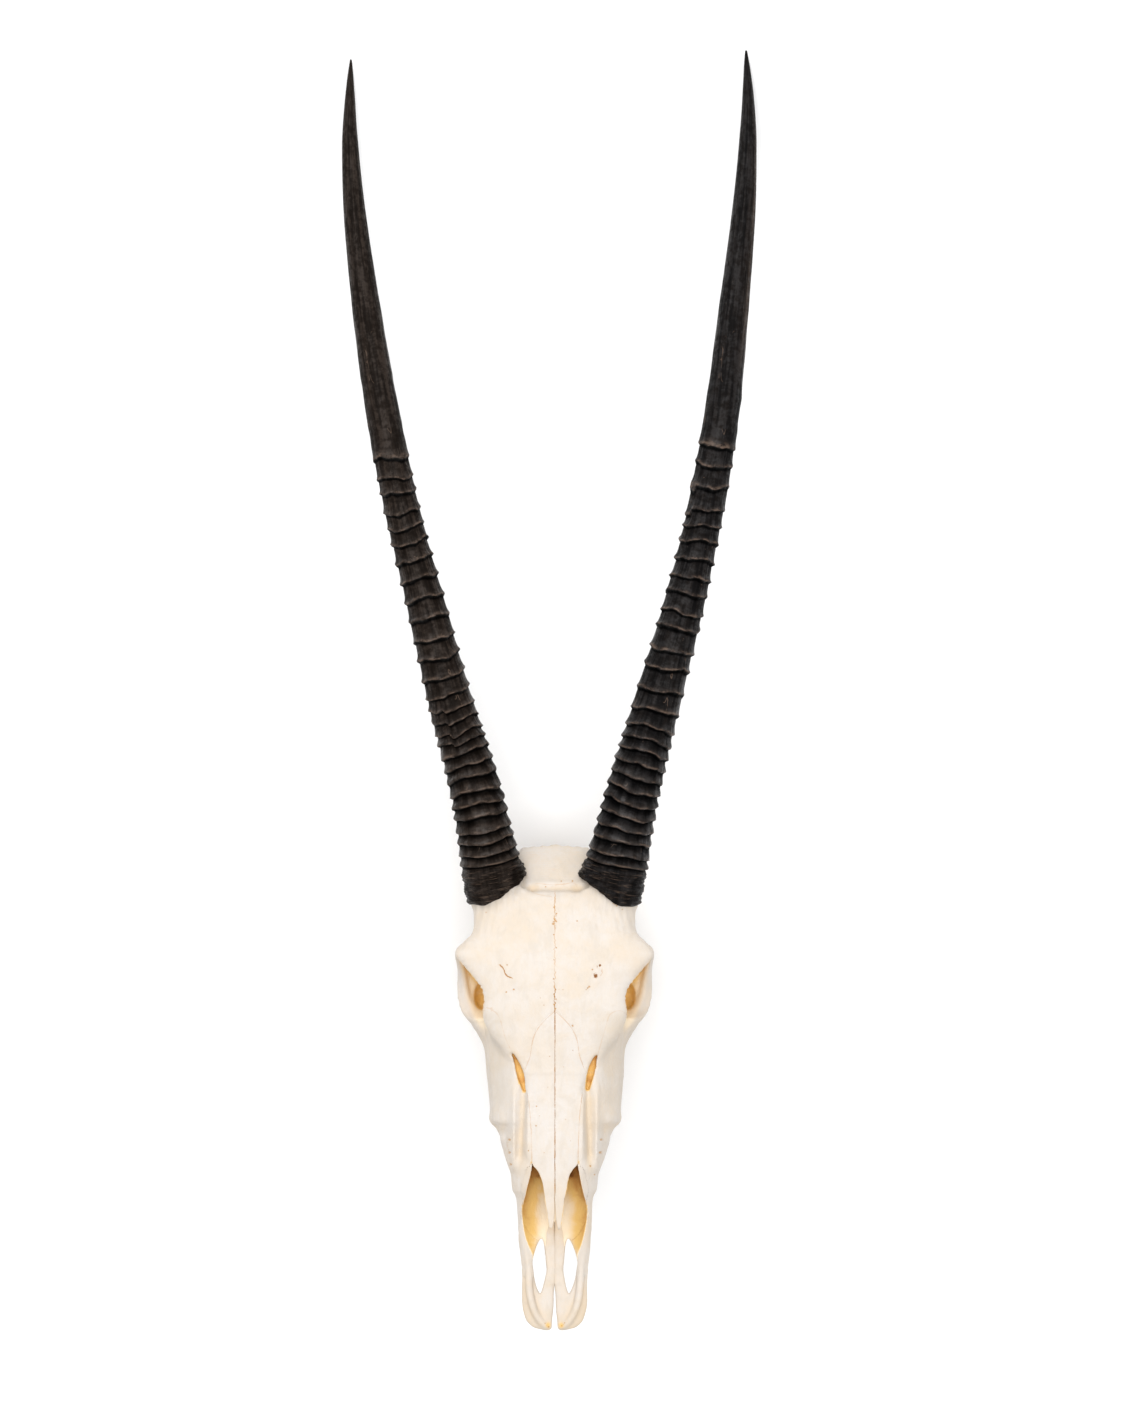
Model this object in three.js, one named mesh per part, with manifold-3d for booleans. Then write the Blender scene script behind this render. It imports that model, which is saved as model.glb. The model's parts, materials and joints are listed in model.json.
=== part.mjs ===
// A gemsbok skull with both horns: skull bones, cheek teeth and horn sheaths, each a closed solid of its own.
// Millimetres. In the skull's own frame X runs across, Y runs from the front tip of the upper jaw back to the
// horn tips, and Z points up out of the face, with Z = 0 along the bridge of the nose and the forehead.
// The finished group is turned so that the skull lies as it rests on a table: on the two processes beside its
// neck joint and on both horn tips, nose in the air. Left is -X, as seen from above with the nose nearest.
import * as THREE from "three";
import { mergeVertices } from "three/addons/utils/BufferGeometryUtils.js";
import Module from "manifold-3d";

const wasm = await Module();
wasm.setup();

// ---- Driving dimensions ----

const GAP = 0.35; // clearance between pieces that touch
const SIDES = [-1, 1]; // left and right

// Where the skull rests: the flat worn tips of the jugular processes, and the slope of the table under it.
const REST_SLOPE = THREE.MathUtils.degToRad(10.3);
const JUGULAR_TIP = { out: 35, along: 357, up: -165 };

// Outlines of the bony face and forehead: along, half width, top, bottom.
const MUZZLE = [
  [76, 22, -36, -55],
  [98, 27, -26, -58],
  [112, 31, -8, -60],
  [137, 38.5, -1, -66],
  [164, 46.5, 0, -80],
  [178, 55, 0, -90],
  [218, 57.5, 0, -99],
  [244, 60, 1, -105],
  [268, 60, 2, -107],
  [290, 54, 2, -103],
  [306, 40, 0, -92],
];
const FOREHEAD = [
  [236, 42, 0, -30],
  [250, 58, 1, -32],
  [268, 61.5, 2, -34],
  [280, 62, 3, -34],
  [292, 66, 3, -34],
  [305, 75.5, 3, -32],
  [317, 83, 2, -32],
  [326, 77, 1, -36],
  [338, 69, -1, -42],
  [354, 66, -4, -50],
  [372, 52, -10, -56],
];
// Hollow of the nose, open above in front of the nose bones: along, half width, top, bottom.
const NOSE_OPENING = [
  [50, 13, 12, -39],
  [60, 21, 12, -43],
  [85, 25.5, 12, -48],
  [100, 25.5, 12, -50],
  [114, 22.5, 12, -52],
  [138, 19, 12, -54],
];
const NOSE_HOLLOW = [
  [100, 23, -8, -50],
  [137, 30, -9, -57],
  [178, 38, -9, -76],
  [220, 38, -9, -88],
  [262, 30, -12, -92],
  [284, 16, -30, -90],
];
// Tooth-bearing ridge of the upper jaw: along, half width, top, bottom, distance out.
const TOOTH_RIDGE = [
  [154, 7, -62, -86, 27],
  [168, 10.5, -66, -97, 29],
  [200, 12.5, -70, -106, 31.5],
  [235, 13, -76, -118, 35],
  [260, 12, -80, -127, 37],
  [271, 7, -86, -120, 36],
];
// One nose bone seen from above: along, width out from the midline.
const NOSE_BONE = [
  [86, 4],
  [100, 6.6],
  [133, 12.2],
  [139, 17],
  [147, 19],
  [190, 21.4],
  [206, 24.8],
  [219, 25.6],
  [231, 20.8],
  [245, 18.4],
  [257, 13.5],
  [264, 6.5],
  [268, 2],
];
const NOSE_BONE_THICKNESS = 3.2;
const NOSE_SPLIT = 115; // in front of here the two nose bones stand apart
const NOSE_TIP_DROOP = 7; // how far the front tips drop below the bridge, from 200 mm along forward
const NOSE_ARCH = 5; // how far the outer edges lie below the midline, 25 mm out

// Cheek teeth, front to back: length along the row, width across, distance out.
const TEETH = [
  ["p2", 11.5, 9, 28],
  ["p3", 13, 11, 29],
  ["p4", 13, 13, 30.5],
  ["m1", 17, 16, 32.5],
  ["m2", 21, 17, 35],
  ["m3", 22, 16, 36.5],
];
const TOOTH_ROW = { start: 163, up: -104.5, slope: 0.335 };
const TOOTH_ROOT = 26; // root tip to chewing face
const TROUGH_PLAY = 0.8; // room between a tooth and the bone beside it
// Shape of a tooth from root tip to chewing face: share of its full width, and of its length over the face.
const TOOTH_LEVELS = [[0.66, 1], [1, 1 / 3], [0.97, 0]];

// Horns: line from above (across, along), radius at the base, and the distances of the ring crests from the rim.
const HORN_LEFT = {
  line: [
    [-49, 365], [-66.4, 452.8], [-89, 533.4], [-109.2, 614], [-129.4, 694.7], [-145.3, 775.3],
    [-157.9, 856], [-168, 936.6], [-172.2, 997.1], [-172.4, 1037.4], [-171.8, 1069],
  ],
  radius: 25.4,
  rings: [
    39, 48, 58, 71, 82, 94, 106, 118, 128, 143, 162, 178, 193, 209, 225, 243, 260, 277, 293, 308, 321, 334,
    351, 363, 380,
  ],
};
const HORN_RIGHT = {
  line: [
    [46.2, 365], [65.5, 452.8], [87.4, 533.4], [109.2, 614], [127.3, 694.7], [140.7, 775.3],
    [149.9, 856], [158.3, 936.6], [162.1, 997.1], [162.5, 1037.4], [160.9, 1076.6],
  ],
  radius: 26.4,
  rings: [
    38, 50, 60, 71, 82, 93, 104, 115, 126, 136, 147, 162, 179, 199, 214, 234, 247, 264, 277, 293, 309, 322,
    336, 356, 374, 390,
  ],
};
const HORN_ROOT_UP = -22;
const HORN_RISE = 30; // height of the bow of a horn over the line from its root to its tip
// Share of the length, share of the base radius.
const HORN_TAPER = [
  [0, 1], [0.12, 0.87], [0.3, 0.72], [0.5, 0.6], [0.7, 0.475], [0.81, 0.375], [0.9, 0.27], [0.96, 0.155],
  [1, 0.035],
];
const RING_CREST = 0.8; // height of a ring over the plain horn
const RING_GROOVE = 1.1; // depth of the groove in front of it
const RING_LIP = 2.2; // length of the steep side of a ring, facing the head
const HORN_PLAIN_STEP = 32; // row spacing on the smooth end of a horn
const HORN_PLAIN_UNTIL = 0.9; // share of the length where the even rows stop and the tip's own rows begin
const HORN_FOOT = [[0, 0], [20, 0.4]]; // rows below the first ring: distance from the rim, change of radius
const HORN_SEAT = [[0, 0], [40, RING_CREST], [60, RING_CREST]];
const HORN_SIDES = 8;
// The bony core inside a horn: its length, how far it starts inside the forehead, its radius there and at the rim
// of the horn, and then its share of the length and radius at each stop.
const CORE_LENGTH = 260;
const CORE_START = 25;
const CORE_ROOT = [20, 20.5];
const CORE_STOPS = [[0.1, 20], [0.4, 17.5], [0.75, 14.5], [0.93, 9.5], [1, 3]];

// One front jaw bone, as points of x, y, z, half thickness across and half thickness up: the outer bar that climbs
// to the nose bone, and the inner strip of the palate. Its flat front plate is an egg: middle and half sizes.
const JAW_PLATE = { middle: [13.6, 20, -45], half: [12.3, 20, 5.5] };
const JAW_BAR = [
  [20, 22, -44, 5.4, 5.5],
  [22.3, 48, -41, 4.2, 6],
  [25.6, 70, -35, 3.2, 7],
  [28.2, 88, -27, 2.4, 8],
  [28.6, 108, -17, 3, 7],
  [25.5, 126, -9, 3, 5],
  [22.4, 139, -5.5, 2, 2.5],
];
const JAW_STRIP = [
  [5.6, 24, -46, 3.6, 2.6],
  [4.8, 50, -47.5, 3.2, 2.4],
  [5.4, 74, -50, 3.2, 2.2],
  [5, 92, -52, 1.6, 1.2],
];

// Bars of bone round the eye, as points of x, y, z and the two half thicknesses.
const CHEEK_RIDGE = [
  [47, 168, -58, 5, 9], [52.5, 182, -58, 5, 9], [53, 214, -60, 5, 9], [60, 244, -62, 5.5, 9], [68, 262, -66, 5, 9],
];
const EYE_RIM = [
  [56, 246, -14, 5, 5], [62, 254, -36, 5, 6], [69.5, 264, -57, 5, 6], [76, 284, -67, 5, 5.5],
  [78.5, 304, -60, 4.6, 5], [79.5, 317, -38, 4, 5], [78, 319, -14, 4, 6],
];
const CHEEK_ARCH = [
  [66, 258, -66, 5, 8], [75.5, 284, -72, 4, 7], [77, 306, -72, 3.5, 6.5], [72, 326, -71, 4, 6],
  [60, 342, -74, 6, 7], [44, 352, -80, 8, 8],
];
const EYE_SOCKET = { middle: [74, 286, -41], half: [40, 26.5, 25] };
const HORN_STEM = [[40, 318, -30, 19], [46, 345, -27, 24], [50, 369, -22, 25]];
// Each process beside the neck joint, from inside the skull to its worn tip: height over the tip, half thicknesses.
const JUGULAR = [[75, 10, 12], [45, 9, 12], [20, 5.5, 9], [8, 4.2, 6], [0, 3.2, 4.5]];
const SKULL_BASE = [[0, 372, -128, 17, 12], [0, 335, -122, 15, 10], [0, 300, -108, 12, 9], [0, 270, -96, 10, 9]];
const BASE_WING = [[17, 256, -100, 3, 9], [16, 278, -112, 3, 13], [14, 298, -110, 3, 9]];
const NOSE_SLIT = [[24.5, 202, -2, 1.2, 9], [28, 216, -3, 3, 9], [35.5, 234, -4, 1.4, 9]];
const HORN_SINUS = [[34, 312, -22, 10], [44, 342, -28, 19], [50, 369, -22, 16], [57, 410, -15, 12]];
const THROAT = [[0, 252, -72, 17, 13], [0, 280, -92, 13, 12], [0, 300, -136, 12, 14]];
const NECK_CANAL = [[0, 356, -82, 24, 24], [0, 380, -108, 16, 16], [0, 408, -138, 15, 13]];

// ---- Colours ----

const BONE = new THREE.MeshStandardMaterial({ color: "#efe6d3", roughness: 0.62, metalness: 0 });
const NOSE = new THREE.MeshStandardMaterial({ color: "#f3ebdb", roughness: 0.6, metalness: 0 });
const TOOTH = new THREE.MeshStandardMaterial({ color: "#e9dcc0", roughness: 0.35, metalness: 0 });
const HORN = new THREE.MeshStandardMaterial({ color: "#2b2523", roughness: 0.45, metalness: 0 });

// ---- Shape tools ----

// A three.js geometry as a manifold-3d solid.
function solid(geometry) {
  geometry.deleteAttribute("normal");
  geometry.deleteAttribute("uv");
  const merged = mergeVertices(geometry, 1e-4);
  return new wasm.Manifold(
    new wasm.Mesh({
      numProp: 3,
      vertProperties: new Float32Array(merged.attributes.position.array),
      triVerts: new Uint32Array(merged.index.array),
    }),
  );
}

// A named mesh made from a manifold-3d solid.
function mesh(name, body, material) {
  const made = body.getMesh();
  const geometry = new THREE.BufferGeometry()
    .setAttribute("position", new THREE.BufferAttribute(made.vertProperties, 3))
    .setIndex(new THREE.BufferAttribute(made.triVerts, 1));
  geometry.computeVertexNormals();
  const piece = new THREE.Mesh(geometry, material);
  piece.name = name;
  return piece;
}

// A closed skin round a path: a unit cylinder whose every point is moved by place(row, x, z), where row counts
// the sections and (x, z) is the point in its round section, 0 in the middle and 1 at the rim.
function skin(rows, sides, place) {
  const shape = new THREE.CylinderGeometry(1, 1, 1, sides, rows);
  const points = shape.attributes.position;
  for (let i = 0; i < points.count; i++) {
    const row = Math.round((points.getY(i) + 0.5) * rows);
    points.setXYZ(i, ...place(row, points.getX(i), points.getZ(i)));
  }
  return solid(shape);
}

// How far a point of the unit circle moves out to lie on a squarer outline of the same width and height.
function squarer(x, z, power) {
  const sum = Math.abs(x) ** power + Math.abs(z) ** power;
  return sum > 0 ? Math.hypot(x, z) ** 2 / sum ** (1 / power) : 0;
}

// A body along Y through sections of along, half width, top, bottom and distance out, grown by grow all round.
function loft(stations, { sides = 16, power = 2, side = 1, grow = 0 } = {}) {
  const last = stations.length - 1;
  return skin(last, sides, (row, x, z) => {
    const [along, half, top, bottom, out = 0] = stations[row];
    const push = squarer(x, z, power);
    const end = row === 0 ? -grow : row === last ? grow : 0;
    const height = (top - bottom) / 2 + grow;
    return [side * out + x * push * (half + grow), along + end, (top + bottom) / 2 + z * push * height];
  });
}

// A body swept through points of x, y, z, half thickness across and half thickness the facing way.
function sweep(points, { sides = 6, side = 1, facing = [0, 0, 1], grow = 0 } = {}) {
  const line = new THREE.CatmullRomCurve3(points.map(([x, y, z]) => new THREE.Vector3(side * x, y, z)));
  const size = new THREE.CatmullRomCurve3(points.map((p) => new THREE.Vector3(p[3], p[4] ?? p[3], 0)));
  const rows = points.length - 1;
  return skin(rows, sides, (row, x, z) => {
    const t = row / rows;
    const tangent = line.getTangent(t);
    const across = tangent.clone().cross(new THREE.Vector3(...facing)).normalize();
    const up = across.clone().cross(tangent);
    const thick = size.getPoint(t);
    const end = row === 0 ? -grow : row === rows ? grow : 0;
    return line
      .getPoint(t)
      .addScaledVector(across, x * (thick.x + grow))
      .addScaledVector(up, z * (thick.y + grow))
      .addScaledVector(tangent, end);
  });
}

// An egg shape, tipped forward about X.
function egg([x, y, z], [width, length, height], { tip = 0, side = 1, sides = 10 } = {}) {
  const shape = new THREE.SphereGeometry(1, sides, Math.round(sides * 0.6));
  shape.scale(width, length, height);
  shape.rotateX(THREE.MathUtils.degToRad(tip));
  shape.translate(side * x, y, z);
  return solid(shape);
}

const joined = (bodies) => bodies.reduce((whole, body) => whole.add(body));
const without = (whole, cuts) => cuts.reduce((left, cut) => left.subtract(cut), whole);
const both = (make) => joined(SIDES.map(make));
const largest = (body) => body.decompose().sort((a, b) => b.volume() - a.volume())[0];

// ---- Horns ----

// Height of the table above or below Z = 0 at a place along the skull.
function tableUp(along) {
  return JUGULAR_TIP.up + (along - JUGULAR_TIP.along) * Math.tan(REST_SLOPE);
}

// The line of a horn: seen from the side it bows up by HORN_RISE between its root and its tip on the table.
function hornLine(horn) {
  const first = horn.line[0][1];
  const last = horn.line.at(-1)[1];
  const tipUp = tableUp(last) + horn.radius * HORN_TAPER.at(-1)[1];
  return new THREE.CatmullRomCurve3(
    horn.line.map(([across, along]) => {
      const t = (along - first) / (last - first);
      const up = HORN_ROOT_UP + (tipUp - HORN_ROOT_UP) * t + HORN_RISE * 4 * t * (1 - t);
      return new THREE.Vector3(across, along, up);
    }),
  );
}

// The radius of the plain horn under its rings at a share of its length.
function hornRadius(horn, share) {
  const next = Math.max(1, HORN_TAPER.findIndex(([at]) => at >= share));
  const [from, thick] = HORN_TAPER[next - 1];
  const [to, thin] = HORN_TAPER[next];
  return horn.radius * THREE.MathUtils.mapLinear(share, from, to, thick, thin);
}

// The rows of a horn, as distance from the rim and change of radius: a groove and a crest for every ring,
// then plain rows out to the tip.
function hornRows(horn) {
  const length = hornLine(horn).getLength();
  const ringed = horn.rings.flatMap((at) => [[at - RING_LIP, -RING_GROOVE], [at, RING_CREST]]);
  const plainStart = horn.rings.at(-1) + HORN_PLAIN_STEP / 2;
  const tipShares = HORN_TAPER.map(([share]) => share * length).filter((at) => at > plainStart);
  const plain = [];
  for (let at = plainStart; at < length * HORN_PLAIN_UNTIL; at += HORN_PLAIN_STEP) plain.push([at, 0]);
  const tip = tipShares.filter((at) => at > plain.at(-1)[0] + HORN_PLAIN_STEP / 3).map((at) => [at, 0]);
  return [...HORN_FOOT, ...ringed, ...plain, ...tip];
}

// The solid horn through its rows, grown by grow all round.
function hornBody(horn, rows = hornRows(horn), grow = 0) {
  const line = hornLine(horn);
  const length = line.getLength();
  return skin(rows.length - 1, HORN_SIDES, (row, x, z) => {
    const [at, change] = rows[row];
    const tangent = line.getTangentAt(at / length);
    const across = tangent.clone().cross(new THREE.Vector3(0, 0, 1)).normalize();
    const up = across.clone().cross(tangent);
    const radius = hornRadius(horn, at / length) + change + grow;
    return line
      .getPointAt(at / length)
      .addScaledVector(across, x * radius)
      .addScaledVector(up, z * radius)
      .addScaledVector(tangent, row === 0 ? -grow : 0);
  });
}

// The space that the foot of a horn takes out of the bone in front of it.
const hornSeat = (horn) => hornBody(horn, HORN_SEAT, GAP);

// The bony core that a horn sheath slips over, from inside the forehead to its round end.
function hornCore(horn, grow = 0) {
  const line = hornLine(horn);
  const length = line.getLength();
  const start = line.getPointAt(0);
  const before = start.clone().addScaledVector(line.getTangentAt(0), -CORE_START);
  const stops = CORE_STOPS.map(([share, radius]) => [...line.getPointAt((share * CORE_LENGTH) / length), radius]);
  return sweep([[...before, CORE_ROOT[0]], [...start, CORE_ROOT[1]], ...stops], { sides: HORN_SIDES, grow });
}

// ---- Bones of the snout ----

// One nose bone: a thin plate, arched across, whose outer edge is dropped below the midline.
function noseBone(side, grow = 0) {
  const last = NOSE_BONE.length - 1;
  return skin(last, 6, (row, x, z) => {
    const [along, width] = NOSE_BONE[row];
    const push = squarer(x, z, 3.5);
    const inner = along < NOSE_SPLIT ? 1 : GAP / 2;
    const out = (inner + width) / 2 + side * x * push * ((width - inner) / 2 + grow);
    const end = row === 0 ? -grow : row === last ? grow : 0;
    const droop = NOSE_TIP_DROOP * Math.max(0, (200 - along) / 114) ** 2;
    const arch = NOSE_ARCH * (out / 25) ** 2;
    const thick = NOSE_BONE_THICKNESS / 2 + grow;
    return [side * out, along + end, 0.5 - NOSE_BONE_THICKNESS / 2 - droop - arch + z * push * thick];
  });
}

// One front jaw bone: a flat front plate, an outer bar that climbs to the nose bone, and an inner palate strip.
function frontJaw(side, grow = 0) {
  const plate = egg(JAW_PLATE.middle, JAW_PLATE.half.map((size) => size + grow), { side });
  const bar = sweep(JAW_BAR, { side, grow });
  const strip = sweep(JAW_STRIP, { side, grow });
  return joined([plate, bar, strip]);
}

// ---- Teeth ----

// Height of the sloping chewing face at a place along the row.
function chewingFace(along) {
  return TOOTH_ROW.up - (along - TOOTH_ROW.start) * TOOTH_ROW.slope;
}

// One cheek tooth: a squarish column, narrower at its root, cut off along the slope of the chewing face.
function tooth(side, start, [, length, width, out]) {
  const middle = start + length / 2;
  const last = TOOTH_LEVELS.length - 1;
  return skin(last, 8, (row, x, z) => {
    const [wide, high] = TOOTH_LEVELS[last - row];
    const push = squarer(x, z, 3.2) * wide;
    const along = middle + z * push * (length / 2 - GAP / 2);
    return [side * out - (x * push * width) / 2, along, chewingFace(along) + high * TOOTH_ROOT];
  });
}

// Every tooth of one side, made by make(start, size).
function toothRow(make) {
  let start = TOOTH_ROW.start;
  return TEETH.map((size) => {
    const made = make(start, size);
    start += size[1];
    return made;
  });
}

// The trough in the jaw that holds one side's teeth: a station in the middle of each tooth and one at each end.
function toothTrough(side) {
  const rows = toothRow((start, [, length, width, out]) => [start + length / 2, width / 2 + TROUGH_PLAY, out]);
  const last = rows.at(-1);
  const end = last[0] + TEETH.at(-1)[1] / 2;
  const stops = [[TOOTH_ROW.start, ...rows[0].slice(1)], ...rows.slice(1), [end, ...last.slice(1)]];
  const stations = stops.map(([along, half, out]) => {
    const face = chewingFace(along);
    return [along, half, face + TOOTH_ROOT, face - TOOTH_ROOT / 2, out];
  });
  return loft(stations, { sides: 8, power: 12, side, grow: TROUGH_PLAY });
}

// ---- Cranium ----

// The ridge along the cheek, the lower and hind rim of the eye socket, and the arch behind it.
function cheek(side) {
  return joined([
    sweep(CHEEK_RIDGE, { side }),
    sweep(EYE_RIM, { side, facing: [1, 0, 0] }),
    sweep(CHEEK_ARCH, { side }),
  ]);
}

// The process beside the neck joint, ending in a flat worn tip square to the table.
function jugular(side) {
  const { out, along, up } = JUGULAR_TIP;
  const points = JUGULAR.map(([height, ...thick]) => [
    out,
    along - height * Math.sin(REST_SLOPE),
    up + height * Math.cos(REST_SLOPE),
    ...thick,
  ]);
  return sweep(points, { side, facing: [0, 1, 0] });
}

// Braincase, neck plate, crest, base, neck joint, ear bulbs, wings of the base and the two processes to stand on.
function backOfSkull() {
  return joined([
    egg([0, 346, -62], [46, 54, 47], { tip: 28 }),
    egg([0, 374, -94], [52, 17, 50], { tip: 14 }),
    egg([0, 386, -54], [50, 21, 15], { tip: 25 }),
    sweep(SKULL_BASE),
    both((side) => egg([19, 374, -138], [13, 12, 16], { side, sides: 8 })),
    both((side) => egg([30, 338, -122], [11, 16, 18], { side, sides: 6 })),
    both((side) => sweep(BASE_WING, { side })),
    both(jugular),
  ]);
}

// Hollows of the forehead, which reach into the horn cores, and of the cheeks.
function sinuses() {
  return joined([
    egg([0, 290, -15], [54, 56, 11]),
    both((side) => sweep(HORN_SINUS, { side })),
    both((side) => egg([36, 222, -52], [16, 52, 36], { side, sides: 8 })),
  ]);
}

// The hollow of the braincase with the canal that opens at the neck joint.
function brainHollow() {
  return egg([0, 346, -68], [41, 48, 43], { tip: 28 }).add(sweep(NECK_CANAL, { sides: 8 }));
}

// Face, cheeks, braincase and horn cores, less the eye sockets, the hollows and the room for the other pieces.
function cranium() {
  const face = joined([
    loft(MUZZLE, { sides: 12, power: 2.1 }),
    loft(FOREHEAD, { sides: 14, power: 2.6 }),
    both((side) => loft(TOOTH_RIDGE, { sides: 8, power: 2.8, side })),
    both((side) => sweep(HORN_STEM, { side, sides: 8 })),
  ]);
  const sockets = both((side) => egg(EYE_SOCKET.middle, EYE_SOCKET.half, { side, sides: 12 }));
  const bone = without(face, [sockets]).add(both(cheek)).add(backOfSkull());
  const hollows = [
    loft(NOSE_OPENING, { sides: 8, power: 3 }),
    loft(NOSE_HOLLOW, { sides: 8, power: 2.4 }),
    sweep(THROAT),
    sinuses(),
    brainHollow(),
    both((side) => sweep(NOSE_SLIT, { side })),
    ...SIDES.map((side) => noseBone(side, GAP)),
    ...SIDES.map((side) => frontJaw(side, GAP)),
    ...SIDES.map(toothTrough),
  ];
  const cores = hornCore(HORN_LEFT).add(hornCore(HORN_RIGHT));
  const seated = without(bone, [hornSeat(HORN_LEFT), hornSeat(HORN_RIGHT)]).add(cores);
  return largest(without(seated, hollows));
}

// ---- The whole skull ----

const skull = new THREE.Group();
skull.add(mesh("cranium", cranium(), BONE));
skull.add(mesh("horn_left", hornBody(HORN_LEFT).subtract(hornCore(HORN_LEFT, GAP)), HORN));
skull.add(mesh("horn_right", hornBody(HORN_RIGHT).subtract(hornCore(HORN_RIGHT, GAP)), HORN));
for (const side of SIDES) {
  const name = side < 0 ? "left" : "right";
  skull.add(mesh(`nasal_${name}`, noseBone(side), NOSE));
  skull.add(mesh(`premaxilla_${name}`, frontJaw(side), BONE));
  toothRow((start, size) => skull.add(mesh(`tooth_${name}_${size[0]}`, tooth(side, start, size), TOOTH)));
}
skull.rotation.x = -REST_SLOPE;

// The origin is on the table under the middle of the whole skull.
const specimen = new THREE.Group();
specimen.add(skull);
specimen.updateMatrixWorld(true);
const box = new THREE.Box3().setFromObject(specimen, true);
const middle = box.getCenter(new THREE.Vector3());
skull.position.set(-middle.x, -middle.y, -box.min.z);

export default specimen;
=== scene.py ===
"""A gemsbok skull with both horns, face up on a table: bleached bone, cheek teeth and dark ringed horn."""

import json
import math
from functools import cache

import bpy
import numpy as np
from bpy.props import FloatProperty, FloatVectorProperty, PointerProperty
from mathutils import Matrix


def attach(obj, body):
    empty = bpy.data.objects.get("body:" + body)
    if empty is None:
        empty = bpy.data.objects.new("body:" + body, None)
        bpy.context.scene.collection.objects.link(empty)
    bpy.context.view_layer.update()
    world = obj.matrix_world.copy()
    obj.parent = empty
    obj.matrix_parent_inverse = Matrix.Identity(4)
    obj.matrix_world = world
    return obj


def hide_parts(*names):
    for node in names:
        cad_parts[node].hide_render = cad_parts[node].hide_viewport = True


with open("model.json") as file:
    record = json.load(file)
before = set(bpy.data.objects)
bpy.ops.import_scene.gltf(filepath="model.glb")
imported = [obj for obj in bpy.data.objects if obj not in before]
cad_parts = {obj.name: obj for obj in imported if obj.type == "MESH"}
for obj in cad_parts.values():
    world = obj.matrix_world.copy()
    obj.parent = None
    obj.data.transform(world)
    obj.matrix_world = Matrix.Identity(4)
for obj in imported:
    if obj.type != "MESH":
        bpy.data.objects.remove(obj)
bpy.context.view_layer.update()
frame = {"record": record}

bl_info = {
    "name": "Gemsbok skull",
    "version": (1, 0, 0),
    "blender": (4, 5, 0),
    "location": "View3D > Sidebar > Skull",
    "description": "Builds a gemsbok skull with its teeth and ringed horns",
    "category": "Add Mesh",
}

# --------------------------------------------------------------------------------------------------
# The skull's own frame, in millimetres: X across, Y from the front tip of the jaw to the horn tips, Z out
# of the face. The skull lies on the flat tips of its two jugular processes and on its horn tips.
# --------------------------------------------------------------------------------------------------

MM = 0.001
REST_SLOPE = math.radians(10.3)
JUGULAR_TIP = np.array([35.0, 357.0, -165.0])
SIDES = {"left": -1, "right": 1}
mounts = {mount["name"]: mount for mount in frame["record"]["mounts"]}


def on_table(points):
    """Points of the skull's frame, in millimetres, turned and moved to where the skull lies, in metres."""
    x, y, z = (np.asarray(points, float) - JUGULAR_TIP).T
    cos, sin = math.cos(REST_SLOPE), math.sin(REST_SLOPE)
    turned = np.stack([x, y * cos + z * sin, z * cos - y * sin], axis=1)
    return turned * MM + np.array(mounts["rest_tip_right"]["pos_m"])


def table_height(along):
    """Height of the table in the skull's frame at a place along it."""
    return JUGULAR_TIP[2] + (along - JUGULAR_TIP[1]) * math.tan(REST_SLOPE)


# --------------------------------------------------------------------------------------------------
# Sizes and colours that a user may change
# --------------------------------------------------------------------------------------------------


class SkullSizes(bpy.types.PropertyGroup):
    """Sizes of the grids, seams and rings"""

    grain: FloatProperty(
        name="Grain", description="Step of the grid that the cranium is worked on",
        default=1.5 * MM, min=0.8 * MM, precision=5, unit="LENGTH",
    )
    suture_depth: FloatProperty(
        name="Suture depth", description="Depth of the toothed seam along the forehead",
        default=0.55 * MM, min=0, precision=5, unit="LENGTH",
    )
    horn_rows: FloatProperty(
        name="Horn row step", description="Step of the rows of faces along the ringed part of a horn",
        default=0.72 * MM, min=0.4 * MM, precision=5, unit="LENGTH",
    )
    ring_height: FloatProperty(
        name="Ring height", description="How far a horn ring stands out",
        default=2.3 * MM, min=0, precision=5, unit="LENGTH",
    )


def in_mm(length):
    """A length property in millimetres, in the 32 bits that a property has."""
    return float(np.float32(length / MM))


def shade(name, description, default):
    """A colour property."""
    return FloatVectorProperty(
        name=name, description=description, default=default, min=0, max=1, subtype="COLOR"
    )


class SkullColours(bpy.types.PropertyGroup):
    """Colours of bone, teeth and horn"""

    bone: shade("Bone", "Cleaned bone", (0.62, 0.578, 0.54))
    bone_warm: shade("Warm bone", "Faint ochre patches", (0.62, 0.5, 0.36))
    bone_grey: shade("Grey bone", "Cooler weathered cheeks", (0.55, 0.49, 0.42))
    # A painted lighter tint: it lightens the floor of the nose and the sockets behind the eye rims, which
    # would otherwise look too dark in their shade.
    cream: shade("Cream", "Clean bone inside the eye sockets and the nose", (0.83, 0.71, 0.54))
    # Gold, hollow and deep: the staining in hollows and, with it, painted shade deep in the nose, eye
    # sockets, slits and braincase.
    gold: shade("Gold", "Light stain in hollows", (0.73, 0.475, 0.16))
    hollow: shade("Hollow", "Brown stain in hollows", (0.56, 0.28, 0.075))
    deep: shade("Deep hollow", "Darkest stain", (0.2, 0.075, 0.018))
    tooth: shade("Enamel", "Tooth enamel", (0.76, 0.69, 0.55))
    horn_left: shade("Left horn", "Warm brown black", (0.0065, 0.0043, 0.0031))
    horn_right: shade("Right horn", "Cool blue black", (0.0026, 0.0026, 0.003))
    # Brown of the rubbed ring lips, also used for the painted highlight on the lips and crests.
    horn_worn: shade("Worn horn", "Brown lips of the rings", (0.05, 0.034, 0.025))


# --------------------------------------------------------------------------------------------------
# Tools for shapes
# --------------------------------------------------------------------------------------------------


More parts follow.
